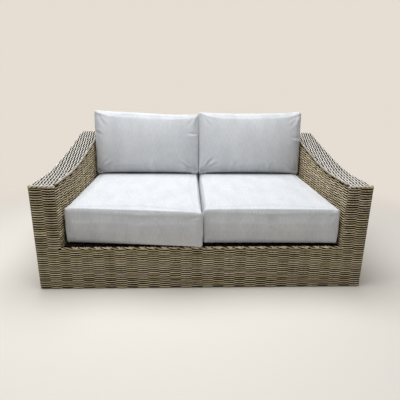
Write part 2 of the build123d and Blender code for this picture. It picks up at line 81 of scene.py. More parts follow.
# Cushions
CUSHION_OUTER, CUSHION_INNER, CLOTH_INNER, CLOTH_EDGE = 0.686, 0.003, 0.0004, 0.0008
SEAT_TOP, SEAT_CROWN, SEAT_REAR_Y = 0.417, 0.019, 0.3715
ZIP_HALF_LENGTH, ZIP_HALF_WIDTH, ZIP_DEPTH, SEAT_ZIP_Z = 0.286, 0.0135, 0.0064, 0.3305
PILLOW_HEIGHT, PILLOW_LEAN, PILLOW_SIDE = 0.412, math.radians(6.0), 0.3415


class Side(Enum):
    """Which end of the loveseat a piece belongs to, as its sign along X."""

    LEFT = -1
    RIGHT = 1

    @property
    def word(self) -> str:
        """The word used in the names of pieces and bodies."""
        return self.name.lower()


# Folds as start, end, half width and depth. On a seat's front they are placed by the distance from its
# outer end and by height, and on a pillow by the distance from its middle and by height.
SEAT_FOLDS: dict[Side, tuple[Fold, ...]] = {
    Side.LEFT: (((0.672, 0.395), (0.60, 0.372), 0.006, 0.0035), ((0.676, 0.372), (0.61, 0.362), 0.005, 0.0022),
                ((0.010, 0.262), (0.055, 0.245), 0.006, 0.003), ((0.676, 0.268), (0.62, 0.246), 0.006, 0.0028),
                ((0.24, 0.40), (0.245, 0.30), 0.010, 0.0012), ((0.47, 0.40), (0.462, 0.31), 0.012, 0.0012)),
    Side.RIGHT: (((0.012, 0.39), (0.07, 0.375), 0.006, 0.0025), ((0.672, 0.262), (0.61, 0.246), 0.006, 0.0028),
                 ((0.36, 0.40), (0.365, 0.29), 0.012, 0.0012), ((0.15, 0.39), (0.148, 0.30), 0.010, 0.0012))}
PILLOW_FOLDS: dict[Side, tuple[Fold, ...]] = {
    Side.LEFT: (((0.3375, 0.262), (0.2615, 0.268), 0.006, 0.006), ((0.055, 0.004), (0.050, 0.105), 0.009, 0.010),
                ((0.005, 0.004), (-0.012, 0.09), 0.010, 0.006), ((-0.3375, 0.275), (-0.2815, 0.255), 0.008, 0.004)),
    Side.RIGHT: (((0.3375, 0.235), (0.2715, 0.25), 0.007, 0.005), ((-0.11, 0.004), (-0.10, 0.10), 0.009, 0.009),
                 ((0.12, 0.004), (0.15, 0.09), 0.009, 0.008))}
# Fans of folds from a pillow's corners: angle in degrees, length and depth.
FOOT_FAN = ((12, 0.11, 0.013), (29, 0.14, 0.017), (47, 0.13, 0.016), (68, 0.10, 0.011))
TOP_FAN = ((-28, 0.10, 0.0035), (-50, 0.12, 0.004))


# ---- Lines of the body ----

def arm_line(y: Array, drop: float = 0.0) -> Array:
    """Height of the arm's top line: level, then two arcs that meet smoothly.

    Each arc is its centre's height less the root of radius squared less distance squared.

    Args:
        y: places along the depth.
        drop: how far below the line, square to it.

    Returns:
        The height at each place.
    """
    y = np.asarray(y, float)
    first, second = FIRST_RADIUS + drop, SECOND_RADIUS + drop
    centre_z = ARM_FRONT_TOP + FIRST_RADIUS
    bend_y = ARM_LEVEL_END + FIRST_RADIUS * math.sin(FIRST_TURN)
    second_y = bend_y - SECOND_RADIUS * math.sin(FIRST_TURN)
    second_z = centre_z + (SECOND_RADIUS - FIRST_RADIUS) * math.cos(FIRST_TURN)
    near = centre_z - np.sqrt(first**2 - np.clip(y - ARM_LEVEL_END, 0, first / 2) ** 2)
    far = second_z - np.sqrt(second**2 - (y - second_y) ** 2)
    split = ARM_LEVEL_END + first * math.sin(FIRST_TURN)
    return np.where(y <= split, near, far)


def back_line(z: Array | float, behind: float = 0.0) -> Array:
    """Depth of the raked inner face of the back.

    Args:
        z: heights.
        behind: how far rearward of the face, square to it.

    Returns:
        The depth at each height.
    """
    return BACK_FOOT_Y + (np.asarray(z) - DECK_Z) * math.tan(BACK_RAKE) + behind / math.cos(BACK_RAKE)


def rolled(z: Array, top: float) -> Array:
    """How far the rows under a rounded top edge lean back.

    It is the edge's radius less the root of the radius squared less the rise squared.

    Args:
        z: heights of the rows.
        top: height of the edge.

    Returns:
        The distance at each height.
    """
    rise = np.clip(z - (top - EDGE_ROUND), 0, EDGE_ROLL)
    return EDGE_ROUND - np.sqrt(EDGE_ROUND**2 - rise**2)


def evenly(first: float, last: float, count: int) -> Array:
    """Middles of rows or stakes that share the space from first to last evenly."""
    return first + (np.arange(count) + 0.5) * (last - first) / count


def row_heights() -> Array:
    """Heights of the woven rows on the front, from the base to the top of the post."""
    return BASE_Z + (np.arange(ROWS) + 0.5) * ROW_PITCH


def grid(x: Array | float, y: Array | float, z: Array | float) -> Array:
    """Points or directions from three parts that are stretched to one shape."""
    return np.stack(np.broadcast_arrays(x, y, z), -1)


def facing(direction: tuple[float, float, float], lines: Array) -> Array:
    """One direction for every point of the lines."""
    return np.broadcast_to(np.array(direction), lines.shape)


def mirrored(points: Array, side: Side) -> Array:
    """Points or directions for one side, from those for the right side."""
    return points * np.array([side.value, 1.0, 1.0])


# ---- Meshes ----

def mesh_object(name: str, points: Array, quads: Array, floats: dict[str, Array] | None = None,
                vectors: dict[str, Array] | None = None) -> bpy.types.Object:
    """Put worked-out points and four-sided faces into a new object at the origin.

    Args:
        name: the piece's name.
        points: one row of three for each vertex.
        quads: one row of four vertex numbers for each face.
        floats: values by name, one for each vertex.
        vectors: rows of three by name, one for each vertex.

    Returns:
        The object, linked to the scene.
    """
    mesh = bpy.data.meshes.new(name)
    mesh.vertices.add(len(points))
    mesh.vertices.foreach_set("co", np.ascontiguousarray(points, np.float32).ravel())
    mesh.loops.add(quads.size)
    mesh.loops.foreach_set("vertex_index", np.ascontiguousarray(quads, np.int32).ravel())
    mesh.polygons.add(len(quads))
    mesh.polygons.foreach_set("loop_start", np.arange(len(quads), dtype=np.int32) * 4)
    mesh.polygons.foreach_set("use_smooth", np.ones(len(quads), bool))
    for kind, word, layers in (("FLOAT", "value", floats), ("FLOAT_VECTOR", "vector", vectors)):
        for key, values in (layers or {}).items():
            layer = mesh.attributes.new(key, kind, "POINT")
            layer.data.foreach_set(word, np.ascontiguousarray(values, np.float32).ravel())
    mesh.update()
    mesh.validate()
    piece = bpy.data.objects.new(name, mesh)
    bpy.context.scene.collection.objects.link(piece)
    return piece


def read_points(piece: bpy.types.Object) -> Array:
    """Read a piece's points.

    Args:
        piece: the piece.

    Returns:
        Its points as rows of three.
    """
    flat = np.empty(len(piece.data.vertices) * 3, np.float32)
    piece.data.vertices.foreach_get("co", flat)
    return flat.reshape(-1, 3).astype(float)


def write_points(piece: bpy.types.Object, points: Array) -> None:
    """Set the piece's points from rows of three."""
    piece.data.vertices.foreach_set("co", points.astype(np.float32).ravel())
    piece.data.update()


def finish_piece(piece: bpy.types.Object, material: bpy.types.Material, slot: str, body: str,
                 *nodes: str) -> None:
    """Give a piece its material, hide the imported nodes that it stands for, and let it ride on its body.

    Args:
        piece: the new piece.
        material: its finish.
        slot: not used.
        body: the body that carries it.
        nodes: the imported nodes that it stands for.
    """
    piece.data.materials.append(material)
    if nodes:
        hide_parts(*nodes)
    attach(piece, body)
    log.info("%s: %d faces on %s", piece.name, len(piece.data.polygons), body)


@dataclass
class Strands:
    """Many strands of one section each, gathered and then made one mesh.

    A strand is an oval carried along its line: each ring is the line's point plus the cosine of
    the angle times the half depth along the normal plus its sine times the half width across.
    """

    # The first field weighs the painted highlight on faces that look up; lay_shade and rear_shade weigh the painted
    # shade from the lay's depth and from the back of each round.
    sky_highlight: float = 1.0
    sides: int = 6
    lay_shade: float = 0.75
    rear_shade: float = 0.62
    fibre_step: float = 40.0
    count: int = 0
    parts: dict[str, list[Array]] = field(
        default_factory=lambda: {key: [] for key in ("points", "quads", "tone", "shade", "sky", "fibre")})

    def add(self, lines: Array, normals: Array, half_depth: float, half_width: float | Array,
            tones: Array, shade: Array | float = 0.0) -> None:
        """Add a set of strands that have the same number of points, with a cap at both ends.

        Args:
            lines: strands by points by three.
            normals: the outward direction at each point, of the same shape.
            half_depth: half the oval along the normal.
            half_width: half the oval across, one value or one for each point.
            tones: one value a strand from 0 to 1 that picks its colour.
            shade: painted shade at each point, from 0 to 1, which grows with how deep it lies in the weave.
        """
        rows, steps, sides = lines.shape[0], lines.shape[1], self.sides
        along = np.gradient(lines, axis=1)
        along /= np.linalg.norm(along, axis=2, keepdims=True)
        across = np.cross(along, normals)
        across /= np.linalg.norm(across, axis=2, keepdims=True)
        out = np.cross(across, along)
        angle = np.arange(sides) * 2 * np.pi / sides
        width = np.broadcast_to(np.asarray(half_width, float), (rows, steps))[..., None, None]
        ring = (lines[:, :, None, :] + half_depth * np.cos(angle)[:, None] * out[:, :, None, :]
                + width * np.sin(angle)[:, None] * across[:, :, None, :])
        number = np.arange(rows * steps * sides).reshape(rows, steps, sides) + self.count
        turned = np.roll(number, -1, axis=2)
        quads = [np.stack([number[:, :-1], turned[:, :-1], turned[:, 1:], number[:, 1:]], -1).reshape(-1, 4)]
        for step in range((sides - 2) // 2):
            corners = [0, 2 * step + 1, 2 * step + 2, 2 * step + 3]
            quads += [number[:, -1][:, corners], number[:, 0][:, corners[::-1]]]
        run = np.concatenate([np.zeros((rows, 1)),
                              np.cumsum(np.linalg.norm(np.diff(lines, axis=1), axis=2), axis=1)], 1)
        tone = np.broadcast_to(tones[:, None, None], (rows, steps, sides))
        fibre = grid(np.broadcast_to(run[..., None], tone.shape), angle / (2 * np.pi), tone * self.fibre_step)
        # Painted shade: more where the lay puts the point deep, and more on the back half of each round.
        lean = np.broadcast_to(np.asarray(shade, float), (rows, steps))[..., None]
        rear = 0.5 - 0.5 * np.cos(angle)
        shades = np.clip(self.lay_shade * lean + self.rear_shade * rear, 0, 1)
        # Share of painted highlight, from how far the strand's face looks up.
        sky = self.sky_highlight * np.broadcast_to(normals[..., 2][..., None], tone.shape)
        for key, values in (("points", ring.reshape(-1, 3)), ("quads", np.concatenate(quads)),
                            ("tone", tone.ravel()), ("shade", shades.ravel()), ("sky", sky.ravel()),
                            ("fibre", fibre.reshape(-1, 3))):
            self.parts[key].append(values)
        self.count += number.size

    def piece(self, name: str) -> bpy.types.Object:
        """Make the gathered strands one object with its tone, shade, sky and fibre values.

        Args:
            name: the piece's name.

        Returns:
            The object.
        """
        whole = {key: np.concatenate(values) for key, values in self.parts.items()}
        return mesh_object(name, whole["points"], whole["quads"],
                           {key: whole[key] for key in ("tone", "shade", "sky")}, {"fibre": whole["fibre"]})


def face_path(length: Array | float, start_round: float, end_round: float,
              steps: int) -> tuple[Array, Array, Array, Array]:
    """A straight run whose ends turn halfway round a corner.

    A rounded end is an eighth of a circle: along is the radius less its cosine part, and out is
    its sine part less the radius, so both faces of a corner meet at the middle of the turn.

    Args:
        length: the run's length, or one a strand.
        start_round: radius at the start, or 0.
        end_round: radius at the end, or 0.
        steps: how many points.

    Returns:
        Distance along, distance out, and the normal's parts along and out, strands by points.
    """
    length = np.atleast_1d(np.asarray(length, float))[:, None]
    along = np.linspace(0, 1, steps)[None, :] * length
    out = np.zeros_like(along)
    normal_along, normal_out = np.zeros_like(along), np.ones_like(along)
    for radius, sign, distance in ((start_round, -1, along), (end_round, 1, length - along)):
        if radius <= 0:
            continue
        angle = np.pi / 4 + np.pi / 4 * np.clip(distance / radius, 0, 1)
        near = distance < radius
        turned = radius * (1 - np.cos(angle))
        along = np.where(near, turned if sign < 0 else length - turned, along)
        out = np.where(near, radius * (np.sin(angle) - 1), out)
        normal_along = np.where(near, sign * np.cos(angle), normal_along)
        normal_out = np.where(near, np.sin(angle), normal_out)
    return along, out, normal_along, normal_out


@dataclass(frozen=True)
class Lay:
    """How rows of strand pass over and under the stakes."""

    seed: int
    swing: float = SWING
    half_depth: float = STRAND_HALF_DEPTH
    waver: float = 0.0007
    # The next two set the painted shade: how dark rows are painted where they cross, and how much darker where a
    # row lies behind a stake.
    depth: float = 0.38
    painted_shade_swing: float = 0.78
    unevenness: float = 0.16
    spread: float = 0.85
    size_spread: float = 0.09
    squareness: float = 0.7
    waves: tuple[tuple[float, float], ...] = ((0.45, 2.3), (0.35, 5.1), (0.25, 1.1))

    def weave(self, strands: Strands, lines: Array, normals: Array, phase: Array, half_width: Array | float,
              first_row: int = 0) -> None:
        """Lift rows over and under the stakes and add them to the strands.

        The lift is the swing times the sine of pi times the phase, squared off a little, and it
        changes sign from row to row. Each row also wavers a little in its own face.

        Args:
            strands: where the rows go.
            lines: rows by points by three, along the middle of the weave.
            normals: outward directions, of the same shape.
            phase: stakes passed, counted from a corner, one for each point or each row's point.
            half_width: half of the rows' width, one value or one for each point.
            first_row: number of the lowest row, which sets which side it starts on.
        """
        rng = np.random.default_rng(self.seed)
        rows, steps = lines.shape[:2]
        phase = np.broadcast_to(phase, (rows, steps))
        wave = np.sin(np.pi * phase)
        wave = np.sign(wave) * np.abs(wave) ** self.squareness
        place = np.floor(phase).astype(int)
        place -= place.min()
        uneven = 1 + self.unevenness * rng.standard_normal((rows, place.max() + 1))
        lift_share = np.clip(wave * np.take_along_axis(uneven, place, 1), -1.15, 1.1)
        sign = np.where((np.arange(rows) + first_row) % 2, 1, -1)[:, None]
        lift = self.swing * sign * lift_share
        across = np.cross(np.gradient(lines, axis=1), normals)
        across /= np.linalg.norm(across, axis=2, keepdims=True)
        drift = sum(amount * np.sin(phase * 2 * np.pi / period + rng.uniform(0, 2 * np.pi, (rows, 1)))
                    for amount, period in self.waves)
        drift *= self.waver * np.clip(1.2 - np.abs(np.linspace(-1, 1, steps)), 0.2, 1)
        centre = lines + lift[..., None] * normals + drift[..., None] * across
        tones = rng.random(rows)
        width = self.spread * np.asarray(half_width) * (1 + self.size_spread * rng.standard_normal(rows))[:, None]
        # Painted shade: a row is painted darker where it passes behind a stake.
        shade = np.clip(self.depth - self.painted_shade_swing * sign * lift_share, 0, 1)
        # A row is drawn narrow where it stands proud and spreads where it lies behind, so no slit is open.
        proud, sunk = np.clip(sign * lift_share, 0, 1), np.clip(-sign * lift_share, 0, 1)
        pinch = 1.34 - 0.40 * proud**1.2 + 0.42 * sunk
        strands.add(centre, normals, self.half_depth, width * pinch, tones, shade)


# ---- Materials ----

def linear(code: str) -> tuple[float, float, float, float]:
    """An sRGB hex colour as linear values with full alpha."""
    parts = [int(code[i:i + 2], 16) / 255 for i in (0, 2, 4)]
    return tuple(p / 12.92 if p <= 0.04045 else ((p + 0.055) / 1.055) ** 2.4 for p in parts) + (1.0,)


def add(tree: bpy.types.NodeTree, kind: str, inputs: dict[str | int, object] | None = None,
        out: int | str = 0, stops: tuple[tuple[float, str], ...] = (), **settings: object) -> Socket:
    """Add a node with its settings and links.

    Args:
        tree: the node tree.
        kind: the node's type, after the word ShaderNode.
        inputs: by name or number, a socket to link or a value to set.
        out: name or number of the output to hand back.
        stops: a colour ramp's places and sRGB colours.
        settings: the node's other properties.

    Returns:
        The output.
    """
    node = tree.nodes.new(f"ShaderNode{kind}")
    for key, value in settings.items():
        setattr(node, key, value)
    for key, value in (inputs or {}).items():
        if isinstance(value, Socket):
            tree.links.new(value, node.inputs[key])
        else:
            node.inputs[key].default_value = value
    if stops:
        while len(node.color_ramp.elements) < len(stops):
            node.color_ramp.elements.new(0.5)
        for element, (place, code) in zip(node.color_ramp.elements, stops):
            element.position, element.color = place, linear(code)
    return node.outputs[out]


def shader(material: bpy.types.Material, **values: object) -> Socket:
    """Set or link the material's own surface shader.

    Args:
        material: the material.
        values: by the input's name, with underscores for spaces, a value to set or a socket to link.

    Returns:
        The shader's output.
    """
    node = material.node_tree.nodes["Principled BSDF"]
    for key, value in values.items():
        socket = node.inputs[key.replace("_", " ")]
        if isinstance(value, Socket):
            material.node_tree.links.new(value, socket)
        else:
            socket.default_value = value
    return node.outputs[0]


@dataclass(frozen=True)
class Finish:
    """What every finish starts from: a named material with a surface shader."""

    name: str = "plain"

    def start(self) -> tuple[bpy.types.Material, bpy.types.NodeTree]:
        """Make a new material with a plain surface shader.

        Returns:
            The material and its node tree.
        """
        material = bpy.data.materials.new(self.name)
        material.use_nodes = True
        return material, material.node_tree


@dataclass(frozen=True)
class ResinStrand(Finish):
    """Polyethylene resin strand, extruded in several colours at once and then woven.

    The eye sees dull, streaky strands of beige, tan, olive and greyed pink. A painted highlight lightens the faces
    that look up, and painted shade darkens them where they dip behind the stakes.
    """

    name: str = "extruded_resin_strand"
    stops: tuple[tuple[float, str], ...] = (
        (0.0, "AFA077"), (0.2, "D8C79C"), (0.4, "EEDFBD"), (0.6, "C4B594"), (0.8, "E4CFB8"), (1.0, "F8EAC8"))
    streak_stops: tuple[tuple[float, str], ...] = ((0.3, "A89C88"), (0.5, "EDEAE4"), (0.72, "FFFFFF"))
    painted_shade: str = "0A0704"
    recess_strength: float = 0.985
    painted_highlight: str = "DAD7D1"

    def build(self) -> bpy.types.Material:
        """Make the material: tone by strand, streaks along it, a painted highlight where it faces up and painted
        shade where it lies deep.

        Returns:
            The material.
        """
        material, tree = self.start()
        tone, shade, sky = (add(tree, "Attribute", out="Fac", attribute_name=word)
                            for word in ("tone", "shade", "sky"))
        fibre = add(tree, "Attribute", out="Vector", attribute_name="fibre")
        # The tone drifts over about 150 mm, and the streaks are about 0.4 mm wide and run on for centimetres.
        drift_place = add(tree, "VectorMath", {0: fibre, 1: (6.0, 0.4, 1.0)}, operation="MULTIPLY")
        drift = add(tree, "TexNoise", {"Vector": drift_place, "Scale": 1.0, "Detail": 3.0, "Roughness": 0.5})
        centred = add(tree, "Math", {0: drift, 1: 0.5}, operation="SUBTRACT")
        shift = add(tree, "Math", {0: centred, 1: 0.8}, operation="MULTIPLY")
        shifted = add(tree, "Math", {0: tone, 1: shift}, operation="ADD")
        colour = add(tree, "ValToRGB", {0: shifted}, stops=self.stops)
        streak_place = add(tree, "VectorMath", {0: fibre, 1: (25.0, 14.0, 1.0)}, operation="MULTIPLY")
        streak = add(tree, "TexNoise", {"Vector": streak_place, "Scale": 1.0, "Detail": 4.0, "Roughness": 0.7})
        streaks = add(tree, "ValToRGB", {0: streak}, stops=self.streak_stops)
        colour = add(tree, "Mix", {0: 0.8, 6: colour, 7: streaks}, 2, data_type="RGBA", blend_type="MULTIPLY")
        # Painted highlight on what faces up, standing in for the sky's sheen on the resin: the strand's own face
        # counts most, its round only a third.
        normal = add(tree, "NewGeometry", out="Normal")
        upward = add(tree, "Math", {0: add(tree, "SeparateXYZ", {0: normal}, 2), 1: 0.35}, operation="MULTIPLY")
        open_sky = add(tree, "Math", {0: sky, 1: upward}, operation="ADD")
        highlight_share = add(tree, "MapRange", {0: open_sky, 1: 0.45, 2: 1.20, 3: 0.0, 4: 0.80},
                     interpolation_type="SMOOTHSTEP")
        colour = add(tree, "Mix", {0: highlight_share, 6: colour, 7: linear(self.painted_highlight)}, 2, data_type="RGBA")
        # Painted shade: where the weave lies deep, the colour turns nearly black.
        depth = add(tree, "MapRange", {0: shade, 1: 0.20, 2: 0.50, 3: 0.0, 4: self.recess_strength},
                    interpolation_type="SMOOTHSTEP")
        colour = add(tree, "Mix", {0: depth, 6: colour, 7: linear(self.painted_shade)}, 2, data_type="RGBA")
        # What lies deep sees no sky, so it has no shine either.
        shine = add(tree, "MapRange", {0: depth, 3: 0.45, 4: 0.02})
        bump = add(tree, "Bump", {"Strength": 0.35, "Distance": 0.0004, "Height": streak})
        shader(material, Base_Color=colour, Roughness=0.52, IOR=1.51, Specular_IOR_Level=shine, Normal=bump)
        return material


@dataclass(frozen=True)
class HeatherCloth(Finish):
    """Solution-dyed acrylic cloth, plain woven from slubbed yarn and sewn into covers.

    The eye sees a pale blue-grey with fine darker and lighter slubs that run up the fronts and
    from front to back over the tops.
    """

    name: str = "woven_acrylic_heather"
    slub_stops: tuple[tuple[float, str], ...] = ((0.30, "CCCDCE"), (0.48, "D5D6D7"), (0.66, "DEDFE0"))
    yarn_stops: tuple[tuple[float, str], ...] = ((0.25, "E4E5E7"), (0.6, "FFFFFF"))
    patch_stops: tuple[tuple[float, str], ...] = ((0.3, "F2F3F5"), (0.7, "FFFFFF"))

    def build(self) -> bpy.types.Material:
        """Make the material: slubs stretched along the cloth over a fine plain weave.

        Returns:
            The material.
        """
        material, tree = self.start()
        place = add(tree, "TexCoord", out="Object")
        x, y, z = (add(tree, "SeparateXYZ", {0: place}, part) for part in range(3))
        length = add(tree, "Math", {0: y, 1: z}, operation="ADD")
        cloth = add(tree, "CombineXYZ", {0: x, 1: length})
        # Slubs about 3 mm wide and 40 mm long, single yarns of 0.7 mm drawn at 1.4 mm, and faint
        # patches a hand wide.
        slubs, yarns, patches = (
            add(tree, "TexNoise", {"Vector": add(tree, "VectorMath", {0: cloth, 1: (across, along, 0.0)},
                                                 operation="MULTIPLY"),
                                   "Scale": 1.0, "Detail": detail, "Roughness": rough})
            for across, along, detail, rough in ((330.0, 26.0, 3.0, 0.6), (720.0, 90.0, 2.0, 0.7),
                                                 (14.0, 5.0, 2.0, 0.5)))
        colour = add(tree, "ValToRGB", {0: slubs}, stops=self.slub_stops)
        for strength, pattern, stops in ((0.7, yarns, self.yarn_stops), (1.0, patches, self.patch_stops)):
            shades = add(tree, "ValToRGB", {0: pattern}, stops=stops)
            colour = add(tree, "Mix", {0: strength, 6: colour, 7: shades}, 2, data_type="RGBA",
                         blend_type="MULTIPLY")
        low = add(tree, "Math", {0: slubs, 1: 0.6}, operation="MULTIPLY")
        height = add(tree, "Math", {0: yarns, 1: low}, operation="ADD")
        bump = add(tree, "Bump", {"Strength": 0.25, "Distance": 0.0006, "Height": height})
        shader(material, Base_Color=colour, Roughness=0.92, Specular_IOR_Level=0.25, Sheen_Weight=0.15,
               Sheen_Roughness=0.5, Normal=bump)
        return material


@dataclass(frozen=True)
class PowderCoat(Finish):
    """Polyester powder baked on welded aluminium tube: a fine orange-peel satin brown."""

    name: str = "powder_coated_aluminium"
    colour: str = "4A4036"
    light: str = "5A4F43"

    def build(self) -> bpy.types.Material:
        """Make the material: two close browns and a bump of 1.5 mm orange peel.

        Returns:
            The material.
        """
        material, tree = self.start()
        place = add(tree, "TexCoord", out="Object")
        peel = add(tree, "TexNoise", {"Vector": place, "Scale": 650.0, "Detail": 2.0, "Roughness": 0.5})
        patches = add(tree, "TexNoise", {"Vector": place, "Scale": 9.0, "Detail": 3.0, "Roughness": 0.5})
        colour = add(tree, "Mix", {0: patches, 6: linear(self.colour), 7: linear(self.light)}, 2,
                     data_type="RGBA")
        bump = add(tree, "Bump", {"Strength": 0.25, "Distance": 0.0002, "Height": peel})
        shader(material, Base_Color=colour, Roughness=0.42, Normal=bump)
        return material


@dataclass(frozen=True)
class Webbing(Finish):
    """Elastic webbing, rubber threads woven in with polypropylene: matt black with fine ribs."""

    name: str = "woven_elastic_webbing"
    colour: str = "1E1D1C"
    thread: str = "3A3937"

    def build(self) -> bpy.types.Material:
        """Make the material: a check of 2.5 mm ribs both ways.

        Returns:
            The material.
        """
        material, tree = self.start()
        place = add(tree, "TexCoord", out="Object")
        ribs = [add(tree, "TexWave", {"Vector": place, "Scale": 63.0, "Distortion": 0.4, "Detail": 1.0}, 1,
                    bands_direction=way) for way in ("X", "Y")]
        height = add(tree, "Math", {0: ribs[0], 1: ribs[1]}, operation="MULTIPLY")
        colour = add(tree, "Mix", {0: height, 6: linear(self.colour), 7: linear(self.thread)}, 2,
                     data_type="RGBA")
        bump = add(tree, "Bump", {"Strength": 0.5, "Distance": 0.0005, "Height": height})
        shader(material, Base_Color=colour, Roughness=0.85, Normal=bump)
        return material


@dataclass(frozen=True)
class ZincedSteel(Finish):
    """Zinc-plated steel wire and sheet, drawn and stamped: grey, slightly cloudy metal."""

    name: str = "zinc_plated_steel"
    colour: str = "A9ABAD"
    cloud: str = "C6C8CA"

    def build(self) -> bpy.types.Material:
        """Make the material: grey with 6 mm clouds, and roughness that varies as the plating does.

        Returns:
            The material.
        """
        material, tree = self.start()
        place = add(tree, "TexCoord", out="Object")
        clouds = add(tree, "TexNoise", {"Vector": place, "Scale": 160.0, "Detail": 3.0, "Roughness": 0.5})
        colour = add(tree, "Mix", {0: clouds, 6: linear(self.colour), 7: linear(self.cloud)}, 2,
                     data_type="RGBA")
        rough = add(tree, "MapRange", {0: clouds, 3: 0.28, 4: 0.46})
        shader(material, Base_Color=colour, Metallic=1.0, Roughness=rough)
        return material


@dataclass(frozen=True)
class MouldedNylon(Finish):
    """Injection-moulded nylon glides: black, scuffed to grey underneath by the floor."""

    name: str = "moulded_nylon"
    colour: str = "1B1B1B"
    scuff: str = "3B3A38"
    scuff_height: float = 0.004

    def build(self) -> bpy.types.Material:
        """Make the material: black with scratches about 2 mm apart near the floor.

        Returns:
            The material.
        """
        material, tree = self.start()
        place = add(tree, "TexCoord", out="Object")
        stretched = add(tree, "VectorMath", {0: place, 1: (1.0, 0.25, 1.0)}, operation="MULTIPLY")
        scratch = add(tree, "TexNoise", {"Vector": stretched, "Scale": 500.0, "Detail": 3.0, "Roughness": 0.7})
        height = add(tree, "SeparateXYZ", {0: place}, 2)
        low = add(tree, "MapRange", {0: height, 1: 0.0, 2: self.scuff_height, 3: 1.0, 4: 0.0})
        share = add(tree, "Math", {0: low, 1: scratch}, operation="MULTIPLY")
        colour = add(tree, "Mix", {0: share, 6: linear(self.colour), 7: linear(self.scuff)}, 2,
                     data_type="RGBA")
        bump = add(tree, "Bump", {"Strength": 0.2, "Distance": 0.0003, "Height": scratch})
        shader(material, Base_Color=colour, Roughness=0.5, IOR=1.53, Normal=bump)
        return material


@dataclass(frozen=True)
class ZipChain(Finish):
    """Moulded acetal zip teeth on woven polyester tape: grey tape with a row of 2.5 mm teeth."""

    name: str = "moulded_zip_chain"
    tape: str = "B4B6B8"
    teeth: str = "8E9092"

    def build(self) -> bpy.types.Material:
        """Make the material: bands across the run, 2.5 mm apart, over fine ribs.

        Returns:
            The material.
        """
        material, tree = self.start()
        place = add(tree, "TexCoord", out="Object")
        bands = add(tree, "TexWave", {"Vector": place, "Scale": 63.0}, 1, bands_direction="X")
        stretched = add(tree, "VectorMath", {0: place, 1: (60.0, 1200.0, 1200.0)}, operation="MULTIPLY")
        rib = add(tree, "TexNoise", {"Vector": stretched, "Scale": 1.0, "Detail": 2.0, "Roughness": 0.5})
        colour = add(tree, "Mix", {0: bands, 6: linear(self.tape), 7: linear(self.teeth)}, 2, data_type="RGBA")
        low = add(tree, "Math", {0: rib, 1: 0.3}, operation="MULTIPLY")
        height = add(tree, "Math", {0: bands, 1: low}, operation="ADD")
        bump = add(tree, "Bump", {"Strength": 0.6, "Distance": 0.0006, "Height": height})
        shader(material, Base_Color=colour, Roughness=0.55, Normal=bump)
        return material


# ---- The woven body ----

@dataclass
class Woven:
    """Anything woven of resin strand that stands on the floor with the body."""

    material: bpy.types.Material

    def finish(self, strands: Strands, name: str, *nodes: str, slot: str = "resin_strand") -> None:
        """Make the strands one finished piece of the root body."""
        finish_piece(strands.piece(name), self.material, slot, "root", *nodes)


